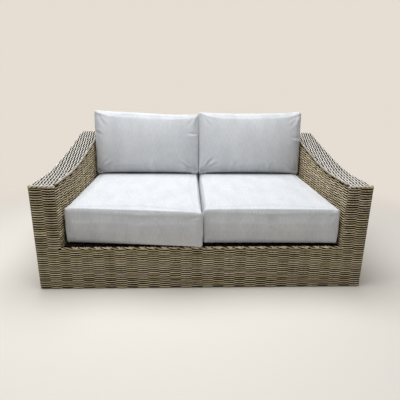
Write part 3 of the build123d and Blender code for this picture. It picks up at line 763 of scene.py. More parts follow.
@dataclass
class Arm(Woven):
    """One arm: its outside, its front and inside, its top, its ridge and its stakes."""

    side: Side
    columns: int = 18
    post_columns: int = 2
    outer_cover: float = 0.98
    inner_cover: float = 0.96
    post_sag: float = 0.0015
    top_half_width: float = 0.0039
    top_inset: tuple[float, float] = (0.0135, 0.0045)
    top_edge: float = 0.008
    border_turn: float = 0.048
    border_rise: tuple[float, float] = (0.0032, 0.0034)
    border_half: tuple[float, float] = (0.0043, 0.0052)
    ridge_core: float = 0.0036
    ridge_turn: float = 0.0125
    ridge_radius: float = 0.0042
    ridge_half: tuple[float, float] = (0.0023, 0.0040)
    hoop_round: float = 0.007
    closed_behind_z: float = 0.60

    @property
    def length(self) -> float:
        """Distance between the middles of the front's and the rear's weave."""
        return REAR_Y - FRONT_Y - 2 * MID_DEPTH

    @property
    def pitch(self) -> float:
        """Distance between stakes along the arm."""
        return self.length / self.columns

    def weave(self, strands: Strands, lay: Lay, lines: Array, normals: Array, phase: Array,
              half_width: Array | float, first_row: int = 0) -> None:
        """Weave rows that are given for the right side on this arm's own side."""
        lay.weave(strands, mirrored(lines, self.side), mirrored(normals, self.side), phase, half_width, first_row)

    def outside(self) -> None:
        """Rows along the outer face, which fan out as the top line rises."""
        steps = self.columns * SAMPLES + 1
        along, out, n_along, n_out = face_path(self.length, PLAN_ROUND, PLAN_ROUND, steps)
        share = (row_heights() - BASE_Z) / (ARM_FRONT_TOP - BASE_Z)
        y = FRONT_Y + MID_DEPTH + along
        z = BASE_Z + share[:, None] * (arm_line(y) - BASE_Z)
        stretch = (arm_line(y) - BASE_Z) / (ARM_FRONT_TOP - BASE_Z)
        strands = Strands()
        self.weave(strands, Lay(11 + self.side.value), grid(HALF_WIDTH - MID_DEPTH + out, y, z),
                   grid(n_out, n_along, z * 0), np.linspace(0, self.columns, steps),
                   0.5 * ROW_PITCH * self.outer_cover * stretch)
        self.finish(strands, f"arm_outside_weave_{self.side.word}", f"weave_arm_outer_{self.side.word}")

    def wrap(self) -> None:
        """Rows along the inner face from the back, round the corner and across the front of the post."""
        heights = row_heights()
        keep = heights > SKIN_FOOT_Z - ROW_BELOW
        first_row = int(np.argmax(keep)) + (self.side is Side.LEFT)
        heights = heights[keep]
        share = (heights - SKIN_FOOT_Z) / (ARM_FRONT_TOP - SKIN_FOOT_Z)
        back_z = SKIN_FOOT_Z + share * (ARM_REAR_INSIDE - SKIN_FOOT_Z)
        length = back_line(back_z) - 0.001 - FRONT_Y - MID_DEPTH
        steps = int(np.ceil(length.max() / self.pitch)) * SAMPLES + 1
        along, out, n_along, n_out = face_path(length, 0.0, PLAN_ROUND, steps)
        y = FRONT_Y + MID_DEPTH + length[:, None] - along
        z = SKIN_FOOT_Z + share[:, None] * (arm_line(y) - SKIN_FOOT_Z)
        inner = grid(INNER_X + MID_DEPTH - out, y, z)
        inner_normals = grid(-n_out, -n_along, z * 0)
        phase = -(y - FRONT_Y - MID_DEPTH) / self.pitch
        post_steps = self.post_columns * SAMPLES + 1
        run, out, n_along, n_out = face_path(HALF_WIDTH - INNER_X - 2 * MID_DEPTH, PLAN_ROUND, PLAN_ROUND,
                                             post_steps)
        post_phase = np.linspace(0, self.post_columns, post_steps)
        post_z = heights[:, None] - self.post_sag * np.abs(np.sin(np.pi * post_phase))
        post = grid(INNER_X + MID_DEPTH + run, FRONT_Y + MID_DEPTH - out + rolled(post_z, ARM_FRONT_TOP), post_z)
        post_normals = grid(n_along, -n_out, post_z * 0)
        stretch = (arm_line(y[:, :-1]) - SKIN_FOOT_Z) / (ARM_FRONT_TOP - SKIN_FOOT_Z)
        half_width = 0.5 * ROW_PITCH * self.inner_cover * np.concatenate([stretch, np.ones(post_z.shape)], 1)
        strands = Strands()
        self.weave(strands, Lay(21 + self.side.value, waver=0.0012),
                   np.concatenate([inner[:, :-1], post], 1),
                   np.concatenate([inner_normals[:, :-1], post_normals], 1),
                   np.concatenate([phase[:, :-1], np.broadcast_to(post_phase, post_z.shape)], 1),
                   half_width, first_row)
        self.finish(strands, f"arm_front_inside_weave_{self.side.word}",
                    f"weave_arm_front_{self.side.word}", f"weave_arm_inner_{self.side.word}")

    def top(self) -> None:
        """Rows along the top from the front edge to the rear edge, with a wavy border at the front."""
        low, high = INNER_X + self.top_inset[0], HALF_WIDTH - self.top_inset[1]
        x = evenly(low, high, int(round((high - low) / TOP_ROW_PITCH)))[:, None]
        steps = self.columns * SAMPLES + 1
        along, out, _, _ = face_path(self.length, TOP_ROUND, TOP_ROUND, steps)
        y = FRONT_Y + MID_DEPTH + along
        edge = np.minimum(np.abs(x - low), np.abs(high - x))
        z = arm_line(y, MID_DEPTH) + out - 0.45 * np.clip(self.top_edge - edge, 0, self.top_edge)
        lines = grid(x, y, z)
        run = np.gradient(lines, axis=1)
        run /= np.linalg.norm(run, axis=2, keepdims=True)
        strands = Strands()
        # The top's rows take more painted shade, so the gaps between them read dark.
        self.weave(strands, Lay(31 + self.side.value, waver=0.0005, depth=0.50), lines,
                   grid(z * 0, -run[..., 2], run[..., 1]), np.linspace(0, self.columns, steps),
                   self.top_half_width)
        self.front_border(strands)
        self.finish(strands, f"arm_top_weave_{self.side.word}", f"weave_arm_top_{self.side.word}")

    def front_border(self, strands: Strands) -> None:
        """Two strands twisted loosely along the front top edge, turned in at both ends.

        Each strand circles the edge line: its offset is the lay radius times the cosine and sine
        of a turn every 48 mm.

        Args:
            strands: where they go.
        """
        share = np.linspace(0, 1, 40)
        x = INNER_X + 0.006 + share * (HALF_WIDTH - INNER_X - 0.012)
        turned_in = 0.003 * np.clip(np.abs(2 * share - 1) * 6 - 5, 0, 1)
        for turn in (0.0, np.pi):
            angle = turn + 2 * np.pi * share * (HALF_WIDTH - INNER_X) / self.border_turn
            line = grid(x, FRONT_Y + 0.0084 + self.border_rise[0] * np.cos(angle) + turned_in,
                        ARM_FRONT_TOP - 0.0076 + self.border_rise[1] * np.sin(angle) - turned_in)[None]
            # Each strand is painted in shade where it turns behind the edge.
            strands.add(mirrored(line, self.side), facing((0.0, -0.7, 0.7), line), *self.border_half,
                        np.array([0.35 + 0.1 * turn]), 0.25 * (1 + np.cos(angle))[None])

    def ridge(self) -> None:
        """A strand wound round the inner top edge, over a core, with uneven turns.

        The winding is a circle round the edge line whose angle grows by a turn each 13 mm,
        and its pitch and radius waver.
        """
        start, stop = FRONT_Y + 0.0085, BACK_TOP_Y - 0.002
        x = INNER_X + 0.004
        core_y = np.linspace(start, stop, 80)
        core = grid(x, core_y, arm_line(core_y) + 0.0015)[None]
        strands = Strands()
        strands.add(mirrored(core, self.side), facing((0.0, 0.0, 1.0), core), self.ridge_core, self.ridge_core,
                    np.array([0.5]), 0.18)
        rng = np.random.default_rng(41 + self.side.value)
        turns = int((stop - start) / self.ridge_turn)
        share, knots = np.linspace(0, 1, turns * 10), np.linspace(0, 1, turns)
        angle = 2 * np.pi * np.interp(share, knots, np.arange(turns) + 0.28 * rng.standard_normal(turns))
        swell = np.interp(share, knots, 1 + 0.13 * rng.standard_normal(turns))
        y = start + 0.003 + share * (stop - start - 0.006)
        radius = np.clip(self.ridge_radius * swell, 0.0030, 0.0052)
        out = grid(np.cos(angle), 0.0, np.sin(angle))[None]
        line = grid(x + radius * np.cos(angle), y, arm_line(y) + 0.0018 + radius * np.sin(angle))[None]
        # Painted shade, uneven along the winding; the core under it carries a light painted shade too.
        shade = np.clip(0.12 + 0.14 * np.sin(angle * 0.5 + 1.0), 0, 1)
        strands.add(mirrored(line, self.side), mirrored(out, self.side), *self.ridge_half, np.array([0.62]),
                    shade[None])
        self.finish(strands, f"arm_ridge_{self.side.word}", f"border_arm_{self.side.word}",
                    slot="resin_border")

    def stakes(self) -> None:
        """Rods up the outside, over the top and down the inside, and two up the post.

        Each hoop is a fixed line of the arm's section, moved along the arm to its stake and
        raised so that its top follows the arm's top line.
        """
        y = evenly(FRONT_Y + MID_DEPTH, REAR_Y - MID_DEPTH, self.columns)[:, None]
        turn = np.linspace(0, np.pi / 2, 4)
        outer, inner = HALF_WIDTH - MID_DEPTH, INNER_X + MID_DEPTH
        sweep = self.hoop_round * (1 - np.cos(turn))
        x = np.concatenate([[outer, outer], outer - sweep, inner + sweep[::-1], [inner, inner]])
        top = arm_line(y, MID_DEPTH)
        drop = self.hoop_round * (1 - np.sin(turn))
        foot = np.where(y < BACK_TOP_Y, SKIN_FOOT_Z, self.closed_behind_z) + 0.004
        z = np.concatenate([np.full(y.shape, BASE_Z + 0.006), (top + BASE_Z) / 2, top - drop, top - drop[::-1],
                            (top + foot) / 2, foot], 1)
        post_x = inner + (HALF_WIDTH - INNER_X - 2 * MID_DEPTH) * np.array([[0.25], [0.75]])
        post_z = np.linspace(APRON_TOP_Z, ARM_FRONT_TOP - 0.012, 3)
        strands = Strands()
        for lines, tones in ((grid(x, y, z), np.full(self.columns, STAKE_TONE)),
                             (grid(post_x, FRONT_Y + MID_DEPTH, post_z), np.array([STAKE_TONE, 0.8]))):
            strands.add(mirrored(lines, self.side), facing((0.0, -1.0, 0.0), lines), STAKE_RADIUS, STAKE_RADIUS,
                        tones, STAKE_SHADE)
        self.finish(strands, f"arm_stakes_{self.side.word}")

    def build(self) -> None:
        """Build every piece of the arm."""
        for make in (self.outside, self.wrap, self.top, self.ridge, self.stakes):
            make()


@dataclass
class Body(Woven):
    """The woven front under the seat, the back, and the wraps under the base."""

    columns: int = 30
    cover: float = 0.98
    rear_cover: float = 0.96
    inner_half: float = INNER_X + 0.011
    inner_columns: int = 25
    inside_row_pitch: float = 0.0088
    inside_half_width: float = 0.0045
    top_half_width: float = 0.0040
    braid_radius: float = 0.0034
    braid_half: tuple[float, float] = (0.0028, 0.0033)
    loop_reach: float = 0.0052
    loop_half: tuple[float, float] = (0.0019, 0.0030)
    loop_shifts: tuple[float, ...] = (-0.0075, -0.001, 0.0065)
    return_depth: float = 0.036
    edge_lay: float = 0.0024
    edge_half: tuple[float, float] = (0.0028, 0.0032)
    wrap_row: float = 0.0083
    side_wrap_rows: int = 13

    @property
    def span(self) -> float:
        """Width between the middles of the two outer faces' weave."""
        return 2 * (HALF_WIDTH - MID_DEPTH)

    @property
    def pitch(self) -> float:
        """Distance between stakes across the width."""
        return self.span / self.columns

    def phase(self, x: Array) -> Array:
        """Stakes passed, counted from the left corner."""
        return (x + self.span / 2) / self.pitch

    def apron(self) -> None:
        """Rows across the whole width below the seat, from one front corner to the other."""
        heights = row_heights()
        z = heights[heights < SKIN_FOOT_Z - ROW_BELOW][:, None]
        steps = self.columns * SAMPLES + 1
        along, out, n_along, n_out = face_path(self.span, PLAN_ROUND, PLAN_ROUND, steps)
        strands = Strands()
        Lay(51, waver=0.0008).weave(strands, grid(along - self.span / 2, FRONT_Y + MID_DEPTH - out, z),
                                    grid(n_along, -n_out, z * 0), np.linspace(0, self.columns, steps),
                                    0.5 * ROW_PITCH * self.cover)
        self.finish(strands, "apron_weave", "weave_apron")

    def apron_edge(self) -> None:
        """The braid along the apron's top.

        It is three strands that circle its middle line, a third of a turn apart and one turn
        every two stakes, and loops of stake end that cross it at each stake.
        """
        # The braid gets no painted highlight.
        strands = Strands(sky_highlight=0.0)
        x = np.linspace(-INNER_X - 0.003, INNER_X + 0.003, self.columns * 10)
        middle_y, middle_z = FRONT_Y + 0.0072, APRON_TOP_Z - 0.0072
        for third in range(3):
            angle = 2 * np.pi * (self.phase(x) / 2 + third / 3)
            line = grid(x, middle_y + self.braid_radius * np.cos(angle),
                        middle_z + self.braid_radius * np.sin(angle))[None]
            # Painted shade on each strand where it circles to the back.
            shade = 0.42 + 0.38 * np.cos(angle)
            strands.add(line, grid(0.0, np.cos(angle), np.sin(angle))[None], *self.braid_half,
                        np.array([0.3 * third + 0.05]), shade[None])
        rng = np.random.default_rng(52)
        stake = evenly(-self.span / 2, self.span / 2, self.columns)
        stake = stake[np.abs(stake) < INNER_X - 0.012]
        turn = np.linspace(-0.35 * np.pi, 0.75 * np.pi, 12)
        for shift in self.loop_shifts:
            place = (stake + shift + 0.0015 * rng.standard_normal(len(stake)))[:, None]
            slant = 0.006 * np.linspace(-1, 1, 12)[None, :] * np.sign(shift)
            line = grid(place + slant, middle_y - self.loop_reach * np.cos(turn),
                        middle_z + self.loop_reach * np.sin(turn))
            out = np.broadcast_to(grid(0.0, -np.cos(turn), np.sin(turn)), line.shape)
            strands.add(line, out, *self.loop_half, 0.4 + 0.5 * rng.random(len(stake)))
        self.finish(strands, "apron_braid", "border_apron", slot="resin_border")

    def apron_return(self) -> None:
        """The narrow woven return behind the braid, which lies in the seat's shade."""
        strands = Strands()
        x = np.linspace(-INNER_X + 0.001, INNER_X - 0.001, 26 * SAMPLES)
        y = evenly(FRONT_Y + 0.014, FRONT_Y + 0.014 + self.return_depth, 4)[:, None]
        lines = grid(x, y, APRON_TOP_Z - 0.0078)
        # Every row here is painted in deep shade, standing in for the seat's shadow.
        Lay(53, swing=0.0026, half_depth=0.0024, depth=1.45).weave(
            strands, lines, facing((0.0, 0.0, 1.0), lines), self.phase(x), 0.0042)
        self.finish(strands, "apron_return_weave", "weave_apron_top")

    def back_outside(self) -> None:
        """Rows across the rear face, at the heights that the arms' rows reach there."""
        top = arm_line(REAR_Y)
        stretch = (top - BASE_Z) / (ARM_FRONT_TOP - BASE_Z)
        z = BASE_Z + ((row_heights() - BASE_Z) * stretch)[:, None]
        steps = self.columns * (SAMPLES - 1) + 1
        along, out, n_along, n_out = face_path(self.span, PLAN_ROUND, PLAN_ROUND, steps)
        lines = grid(self.span / 2 - along, REAR_Y - MID_DEPTH + out - rolled(z, top), z)
        strands = Strands()
        Lay(54).weave(strands, lines, grid(-n_along, n_out, z * 0), np.linspace(0, self.columns, steps),
                      0.5 * ROW_PITCH * stretch * self.rear_cover)
        self.finish(strands, "back_outside_weave", "weave_back_outer")

    def back_inside(self) -> None:
        """Rows across the raked inner face of the back."""
        z = evenly(SKIN_FOOT_Z, BACK_TOP_Z, int((BACK_TOP_Z - SKIN_FOOT_Z) / self.inside_row_pitch))[:, None]
        x = np.linspace(-self.inner_half, self.inner_half, self.inner_columns * SAMPLES + 1)
        lines = grid(x, back_line(z, MID_DEPTH), z)
        strands = Strands()
        Lay(55).weave(strands, lines, facing((0.0, -math.cos(BACK_RAKE), math.sin(BACK_RAKE)), lines),
                      self.phase(x), self.inside_half_width)
        self.finish(strands, "back_inside_weave", "weave_back_inner")

    def back_top(self) -> None:
        """Rows along the back's top, between the two arms, and two strands twisted along its front edge.

        Each of the two circles the edge line, its offset the lay radius times the cosine and
        sine of a turn at every stake.
        """
        first, last = BACK_TOP_Y + 0.004, REAR_Y - 0.005
        y = evenly(first, last, int(round((last - first) / TOP_ROW_PITCH)))[:, None]
        z = arm_line(y, MID_DEPTH) - 0.5 * np.clip(0.014 - (REAR_Y - y), 0, 0.014)
        x = np.linspace(-self.inner_half, self.inner_half, self.inner_columns * SAMPLES + 1)
        lines = grid(x, y, z)
        strands = Strands()
        Lay(56, waver=0.0005).weave(strands, lines, facing((0.0, -0.12, 0.993), lines), self.phase(x),
                                    self.top_half_width)
        edge_z = float(arm_line(BACK_TOP_Y + 0.004, 0.0055)) - 0.0008
        for turn in (0.0, np.pi):
            angle = turn + 2 * np.pi * self.phase(x)
            line = grid(x, BACK_TOP_Y + 0.0065 + self.edge_lay * np.cos(angle),
                        edge_z + self.edge_lay * np.sin(angle))[None]
            # The edge strands carry a light painted shade.
            strands.add(line, facing((0.0, -0.6, 0.8), line), *self.edge_half, np.array([0.4 + 0.1 * turn]), 0.1)
        self.finish(strands, "back_top_weave", "weave_back_top")

    def stakes(self) -> None:
        """Rods up the apron, and hoops up the rear face, over the back's top and down its inner face."""
        x = evenly(-self.span / 2, self.span / 2, self.columns)[:, None]
        front_rods = grid(x, FRONT_Y + MID_DEPTH, np.linspace(BASE_Z + 0.004, APRON_TOP_Z - 0.012, 3))
        rear, front = REAR_Y - MID_DEPTH, BACK_TOP_Y + MID_DEPTH
        rear_z, front_z = arm_line(np.array([rear, front]), MID_DEPTH)
        path = np.array([[rear, BASE_Z + 0.006], [rear, 0.35], [rear, rear_z - 0.010],
                         [rear - 0.003, rear_z - 0.003], [rear - 0.010, rear_z], [front + 0.008, front_z + 0.001],
                         [front + 0.002, front_z - 0.003], [back_line(BACK_BEND_Z, MID_DEPTH), BACK_BEND_Z],
                         [back_line(SKIN_FOOT_Z, MID_DEPTH), SKIN_FOOT_Z + 0.004]])
        hoops = grid(x[np.abs(x) < INNER_X][:, None], path[:, 0], path[:, 1])
        strands = Strands()
        for lines, normal in ((front_rods, (0.0, -1.0, 0.0)), (hoops, (1.0, 0.0, 0.0))):
            strands.add(lines, facing(normal, lines), STAKE_RADIUS, STAKE_RADIUS,
                        np.full(len(lines), STAKE_TONE), STAKE_SHADE)
        self.finish(strands, "body_stakes")

    def base_wraps(self) -> None:
        """Rows that turn under the base along its four sides."""
        strands = Strands()
        inside, z = INNER_X + WEAVE_DEPTH, BASE_Z + MID_DEPTH
        x = np.linspace(-inside + 0.002, inside - 0.002, 24 * SAMPLES + 1)
        y = np.linspace(FRONT_Y + WEAVE_DEPTH + 0.002, REAR_Y - WEAVE_DEPTH - 0.002, 18 * SAMPLES + 1)
        front_phase = (x + HALF_WIDTH - MID_DEPTH) / self.pitch
        rows = [(seed, grid(x, evenly(place, place + 3 * self.wrap_row, 3)[:, None], z), front_phase)
                for seed, place in ((57, FRONT_Y + WEAVE_DEPTH), (58, REAR_Y - WEAVE_DEPTH - 0.025))]
        across = evenly(inside, HALF_WIDTH - WEAVE_DEPTH, self.side_wrap_rows)[:, None]
        rows += [(59, mirrored(grid(across, y, z), side), (y - FRONT_Y) / self.pitch) for side in Side]
        for seed, lines, phase in rows:
            Lay(seed, swing=0.0028).weave(strands, lines, facing((0.0, 0.0, -1.0), lines), phase,
                                          self.top_half_width)
        self.finish(strands, "base_wrap_weave", "weave_base_front", "weave_base_rear", "weave_base_sides")

    def build(self) -> None:
        """Build every piece of the body."""
        for make in (self.apron, self.apron_edge, self.apron_return, self.back_outside, self.back_inside,
                     self.back_top, self.stakes, self.base_wraps):
            make()


# ---- Cushions ----

def box_grid(counts: tuple[int, int, int]) -> tuple[Array, Array]:
    """The surface of a unit cube as one closed grid of squares that face outward.

    Args:
        counts: squares along each axis.

    Returns:
        The points, as shares of each side, and the faces.
    """
    corners = []
    for axis in range(3):
        second, third = (axis + 1) % 3, (axis + 2) % 3
        i, j = np.meshgrid(np.arange(counts[second]), np.arange(counts[third]), indexing="ij")
        for end in (0, 1):
            quad = np.zeros((i.size, 4, 3), int)
            quad[:, :, axis] = end * counts[axis]
            for corner, (di, dj) in enumerate(((0, 0), (1, 0), (1, 1), (0, 1))):
                quad[:, corner, second] = (i + di).ravel()
                quad[:, corner, third] = (j + dj).ravel()
            corners.append(quad if end else quad[:, ::-1])
    flat = np.concatenate(corners).reshape(-1, 3)
    points, index = np.unique(flat, axis=0, return_inverse=True)
    return points / np.array(counts, float), index.reshape(-1, 4)


def smoother(share: Array) -> Array:
    """An even step from 0 to 1."""
    share = np.clip(share, 0, 1)
    return share * share * (3 - 2 * share)


def over_zip(along: Array, across: Array) -> Array:
    """1 over the zip and 0 past its hem, from the distances to its middle along it and across it."""
    return (smoother((ZIP_HALF_LENGTH + 0.008 - np.abs(along)) / 0.006)
            * smoother((ZIP_HALF_WIDTH + 0.006 - np.abs(across)) / 0.005))


def crease(first: Array, second: Array, start: tuple[float, float], end: tuple[float, float], width: float,
           depth: float) -> Array:
    """Depth of one fold in the cloth, beside a swell of about half its height.

    The fold is a bell across the line from start to end, and it fades towards both ends.

    Args:
        first: first coordinate in the face.
        second: second coordinate in the face.
        start: where the fold starts.
        end: where it ends.
        width: half its width.
        depth: how deep it is.

    Returns:
        How far to push each point in.
    """
    run = np.array(end) - np.array(start)
    length = float(np.hypot(*run))
    run = run / length
    along = (first - start[0]) * run[0] + (second - start[1]) * run[1]
    across = (second - start[1]) * run[0] - (first - start[0]) * run[1]
    share = along / length
    fade = np.clip(np.minimum(share * 5, (1 - share) * 2.2), 0, 1)
    bell = np.exp(-(across / width) ** 2) - 0.55 * np.exp(-((across - 2.0 * width) / (1.3 * width)) ** 2)
    return depth * fade * bell


@dataclass(frozen=True)
class Inflation:
    """How a sewn cover is blown up as cloth."""

    pressure: float
    frames: int
    cap: float
    inward_cut: float = 0.75

    def blow(self, piece: bpy.types.Object) -> None:
        """Blow the cover up, and keep each point within the cap of where it started.

        The part of a move that goes in, against the starting normal, is cut to a quarter, so edges
        stay where they were sewn while the panels between them fill.

        Args:
            piece: the cover.
        """
        scene = bpy.context.scene
        start = read_points(piece)
        cloth = piece.modifiers.new("Pressure", "CLOTH")
        for name, value in (("quality", 5), ("mass", 0.3), ("tension_stiffness", 12),
                            ("compression_stiffness", 12), ("shear_stiffness", 4), ("bending_stiffness", 0.4),
                            ("use_pressure", True), ("uniform_pressure_force", self.pressure)):
            setattr(cloth.settings, name, value)
        cloth.settings.effector_weights.gravity = 0
        cloth.point_cache.frame_start, cloth.point_cache.frame_end = 1, self.frames
        for step in range(1, self.frames + 1):
            scene.frame_set(step)
        swollen = piece.evaluated_get(bpy.context.evaluated_depsgraph_get()).data
        end = np.empty(len(start) * 3, np.float32)
        swollen.vertices.foreach_get("co", end)
        piece.modifiers.remove(cloth)
        scene.frame_set(1)
        normals = np.empty(len(start) * 3, np.float32)
        piece.data.vertex_normals.foreach_get("vector", normals)
        normals = normals.reshape(-1, 3)
        move = end.reshape(-1, 3) - start.astype(np.float32)
        move -= self.inward_cut * np.minimum((move * normals).sum(1, keepdims=True), 0) * normals
        move *= np.minimum(1, self.cap / np.maximum(np.linalg.norm(move, axis=1, keepdims=True), 1e-9))
        write_points(piece, start.astype(np.float32) + move)


def subdivide(piece: bpy.types.Object) -> None:
    """Round a cover by subdividing it once."""
    soft = piece.modifiers.new("Soft", "SUBSURF")
    soft.levels = soft.render_levels = 1


@dataclass
class Cushion:
    """What both kinds of cushion share: their side, their cloth and how the cover is finished."""

    side: Side
    material: bpy.types.Material

    def cover(self, piece: bpy.types.Object, kind: str, filling: str) -> None:
        """Give a padded cover its cloth and let it ride on its cushion's body.

        Args:
            piece: the cover.
            kind: seat or back, as in the names of the nodes.
            filling: the filling's word in its node's name.
        """
        name = self.side.word
        finish_piece(piece, self.material, "heather_cloth", f"{kind}_cushion_{name}",
                     f"{kind}_cover_{name}", f"{kind}_{filling}_{name}")


@dataclass
class SeatCushion(Cushion):
    """A boxed foam seat cushion in a sewn cover, crowned on top and square to the deck."""

    front_outer: float
    front_inner: float
    edge_radius: float = 0.013
    foot_radius: float = 0.009
    grid_step: float = 0.0095
    foot_lift: float = 0.0006
    drawn_up: float = 0.012
    inset: float = 0.004
    seam_push: float = 0.0007
    seam_heights: tuple[float, float] = (SEAT_TOP - 0.012, DECK_Z + 0.020)
    inflation: Inflation = Inflation(3.0, 14, 0.010)

    def across(self, x: Array) -> Array:
        """Share of the width at x, from the inner end to the outer one."""
        return (np.abs(x) - CUSHION_INNER) / (CUSHION_OUTER - CUSHION_INNER)

    def front(self, x: Array) -> Array:
        """Depth of the front face at x, straight between its two ends."""
        return self.front_inner + self.across(x) * (self.front_outer - self.front_inner)

    def crown(self, x: Array, y: Array) -> Array:
        """Height of the crown: the product of two flat-topped bows, one each way.

        Args:
            x: places across the width.
            y: places along the depth.

        Returns:
            The crown's height above the cushion's top at each place.
        """
        across, deep = self.across(x), (y - self.front(x)) / (SEAT_REAR_Y - self.front(x))
        bow = np.clip(4 * across * (1 - across), 0, 1) ** 0.6 * np.clip(4 * deep * (1 - deep), 0, 1) ** 0.75
        return SEAT_CROWN * bow

    def foot(self, x: Array, y: Array) -> Array:
        """Height of the underside, which is drawn up at the front edge."""
        return DECK_Z + self.foot_lift + self.drawn_up * smoother(1 - (y - self.front(x)) / 0.09)

    def shape(self, shares: Array) -> Array:
        """A box with rounded edges, its rounding a ball pressed along every edge.

        The grid is drawn together towards the edges: each share less 0.08 of the sine of its turn.

        Args:
            shares: places on the unit cube.

        Returns:
            The points.
        """
        sign, inset = self.side.value, self.inset
        shares = shares - 0.08 * np.sin(2 * np.pi * shares)
        low_x, high_x = sorted((sign * (CLOTH_INNER + 0.4 * inset), sign * (CUSHION_OUTER - inset)))
        x = low_x + shares[:, 0] * (high_x - low_x)
        front = self.front(x) + inset
        y = front + shares[:, 1] * (SEAT_REAR_Y - inset - front)
        low_z, high_z = self.foot(x, y) + inset * 0.5, SEAT_TOP - inset * 0.6
        z = low_z + shares[:, 2] * (high_z - low_z)
        radius = np.where(shares[:, 2] > 0.5, self.edge_radius, self.foot_radius)
        core = grid(np.clip(x, low_x + radius, high_x - radius),
                    np.clip(y, front + radius, SEAT_REAR_Y - inset - radius),
                    np.clip(z, low_z + radius, high_z - radius))
        away = grid(x, y, z) - core
        points = core + away / np.maximum(np.linalg.norm(away, axis=1, keepdims=True), 1e-9) * radius[:, None]
        points[:, 2] += self.crown(points[:, 0], points[:, 1]) * smoother((shares[:, 2] - 0.35) / 0.65) * 0.8
        return points

    def sewn(self, points: Array) -> Array:
        """Keep the cushion in its own space, sink its seams, fold its corners and clear its zip.

        Args:
            points: the cover's points.

        Returns:
            The points as sewn.
        """
        sign = self.side.value
        outer_x = sign * (CUSHION_OUTER - CLOTH_EDGE)
        x = np.clip(points[:, 0], *sorted((sign * CLOTH_INNER, outer_x)))
        front = self.front(x)
        y = np.clip(points[:, 1], front + 0.0005, SEAT_REAR_Y - 0.0005)
        z = np.clip(points[:, 2], self.foot(x, y), SEAT_TOP + self.crown(x, y) + 0.0004)
        push = sum(crease(np.abs(x - outer_x), z, *fold) for fold in SEAT_FOLDS[self.side])
        # The seams of the boxed border run round the front and the ends, near the top and the foot.
        push += sum(self.seam_push * np.exp(-((z - seam_z) / 0.0032) ** 2) for seam_z in self.seam_heights)
        y = y + np.clip(push, -0.0015, 0.006) * smoother((0.03 - (y - front)) / 0.02)
        near = over_zip(x - sign * (CUSHION_OUTER + CUSHION_INNER) / 2, z - SEAT_ZIP_Z)
        near *= points[:, 1] > SEAT_REAR_Y - 0.03
        return grid(x, np.where(near > 0, np.minimum(y, SEAT_REAR_Y - near * ZIP_DEPTH), y), z)

    def build(self) -> None:
        """Build the cushion: a rounded box, blown up as cloth, then sewn and subdivided once."""
        size = (CUSHION_OUTER - CUSHION_INNER, SEAT_REAR_Y - self.front_inner, SEAT_TOP - DECK_Z)
        shares, quads = box_grid(tuple(int(round(length / self.grid_step)) for length in size))
        piece = mesh_object(f"seat_cushion_{self.side.word}_cover", self.shape(shares), quads)
        self.inflation.blow(piece)
        write_points(piece, self.sewn(read_points(piece)))
        subdivide(piece)
        self.cover(piece, "seat", "foam")


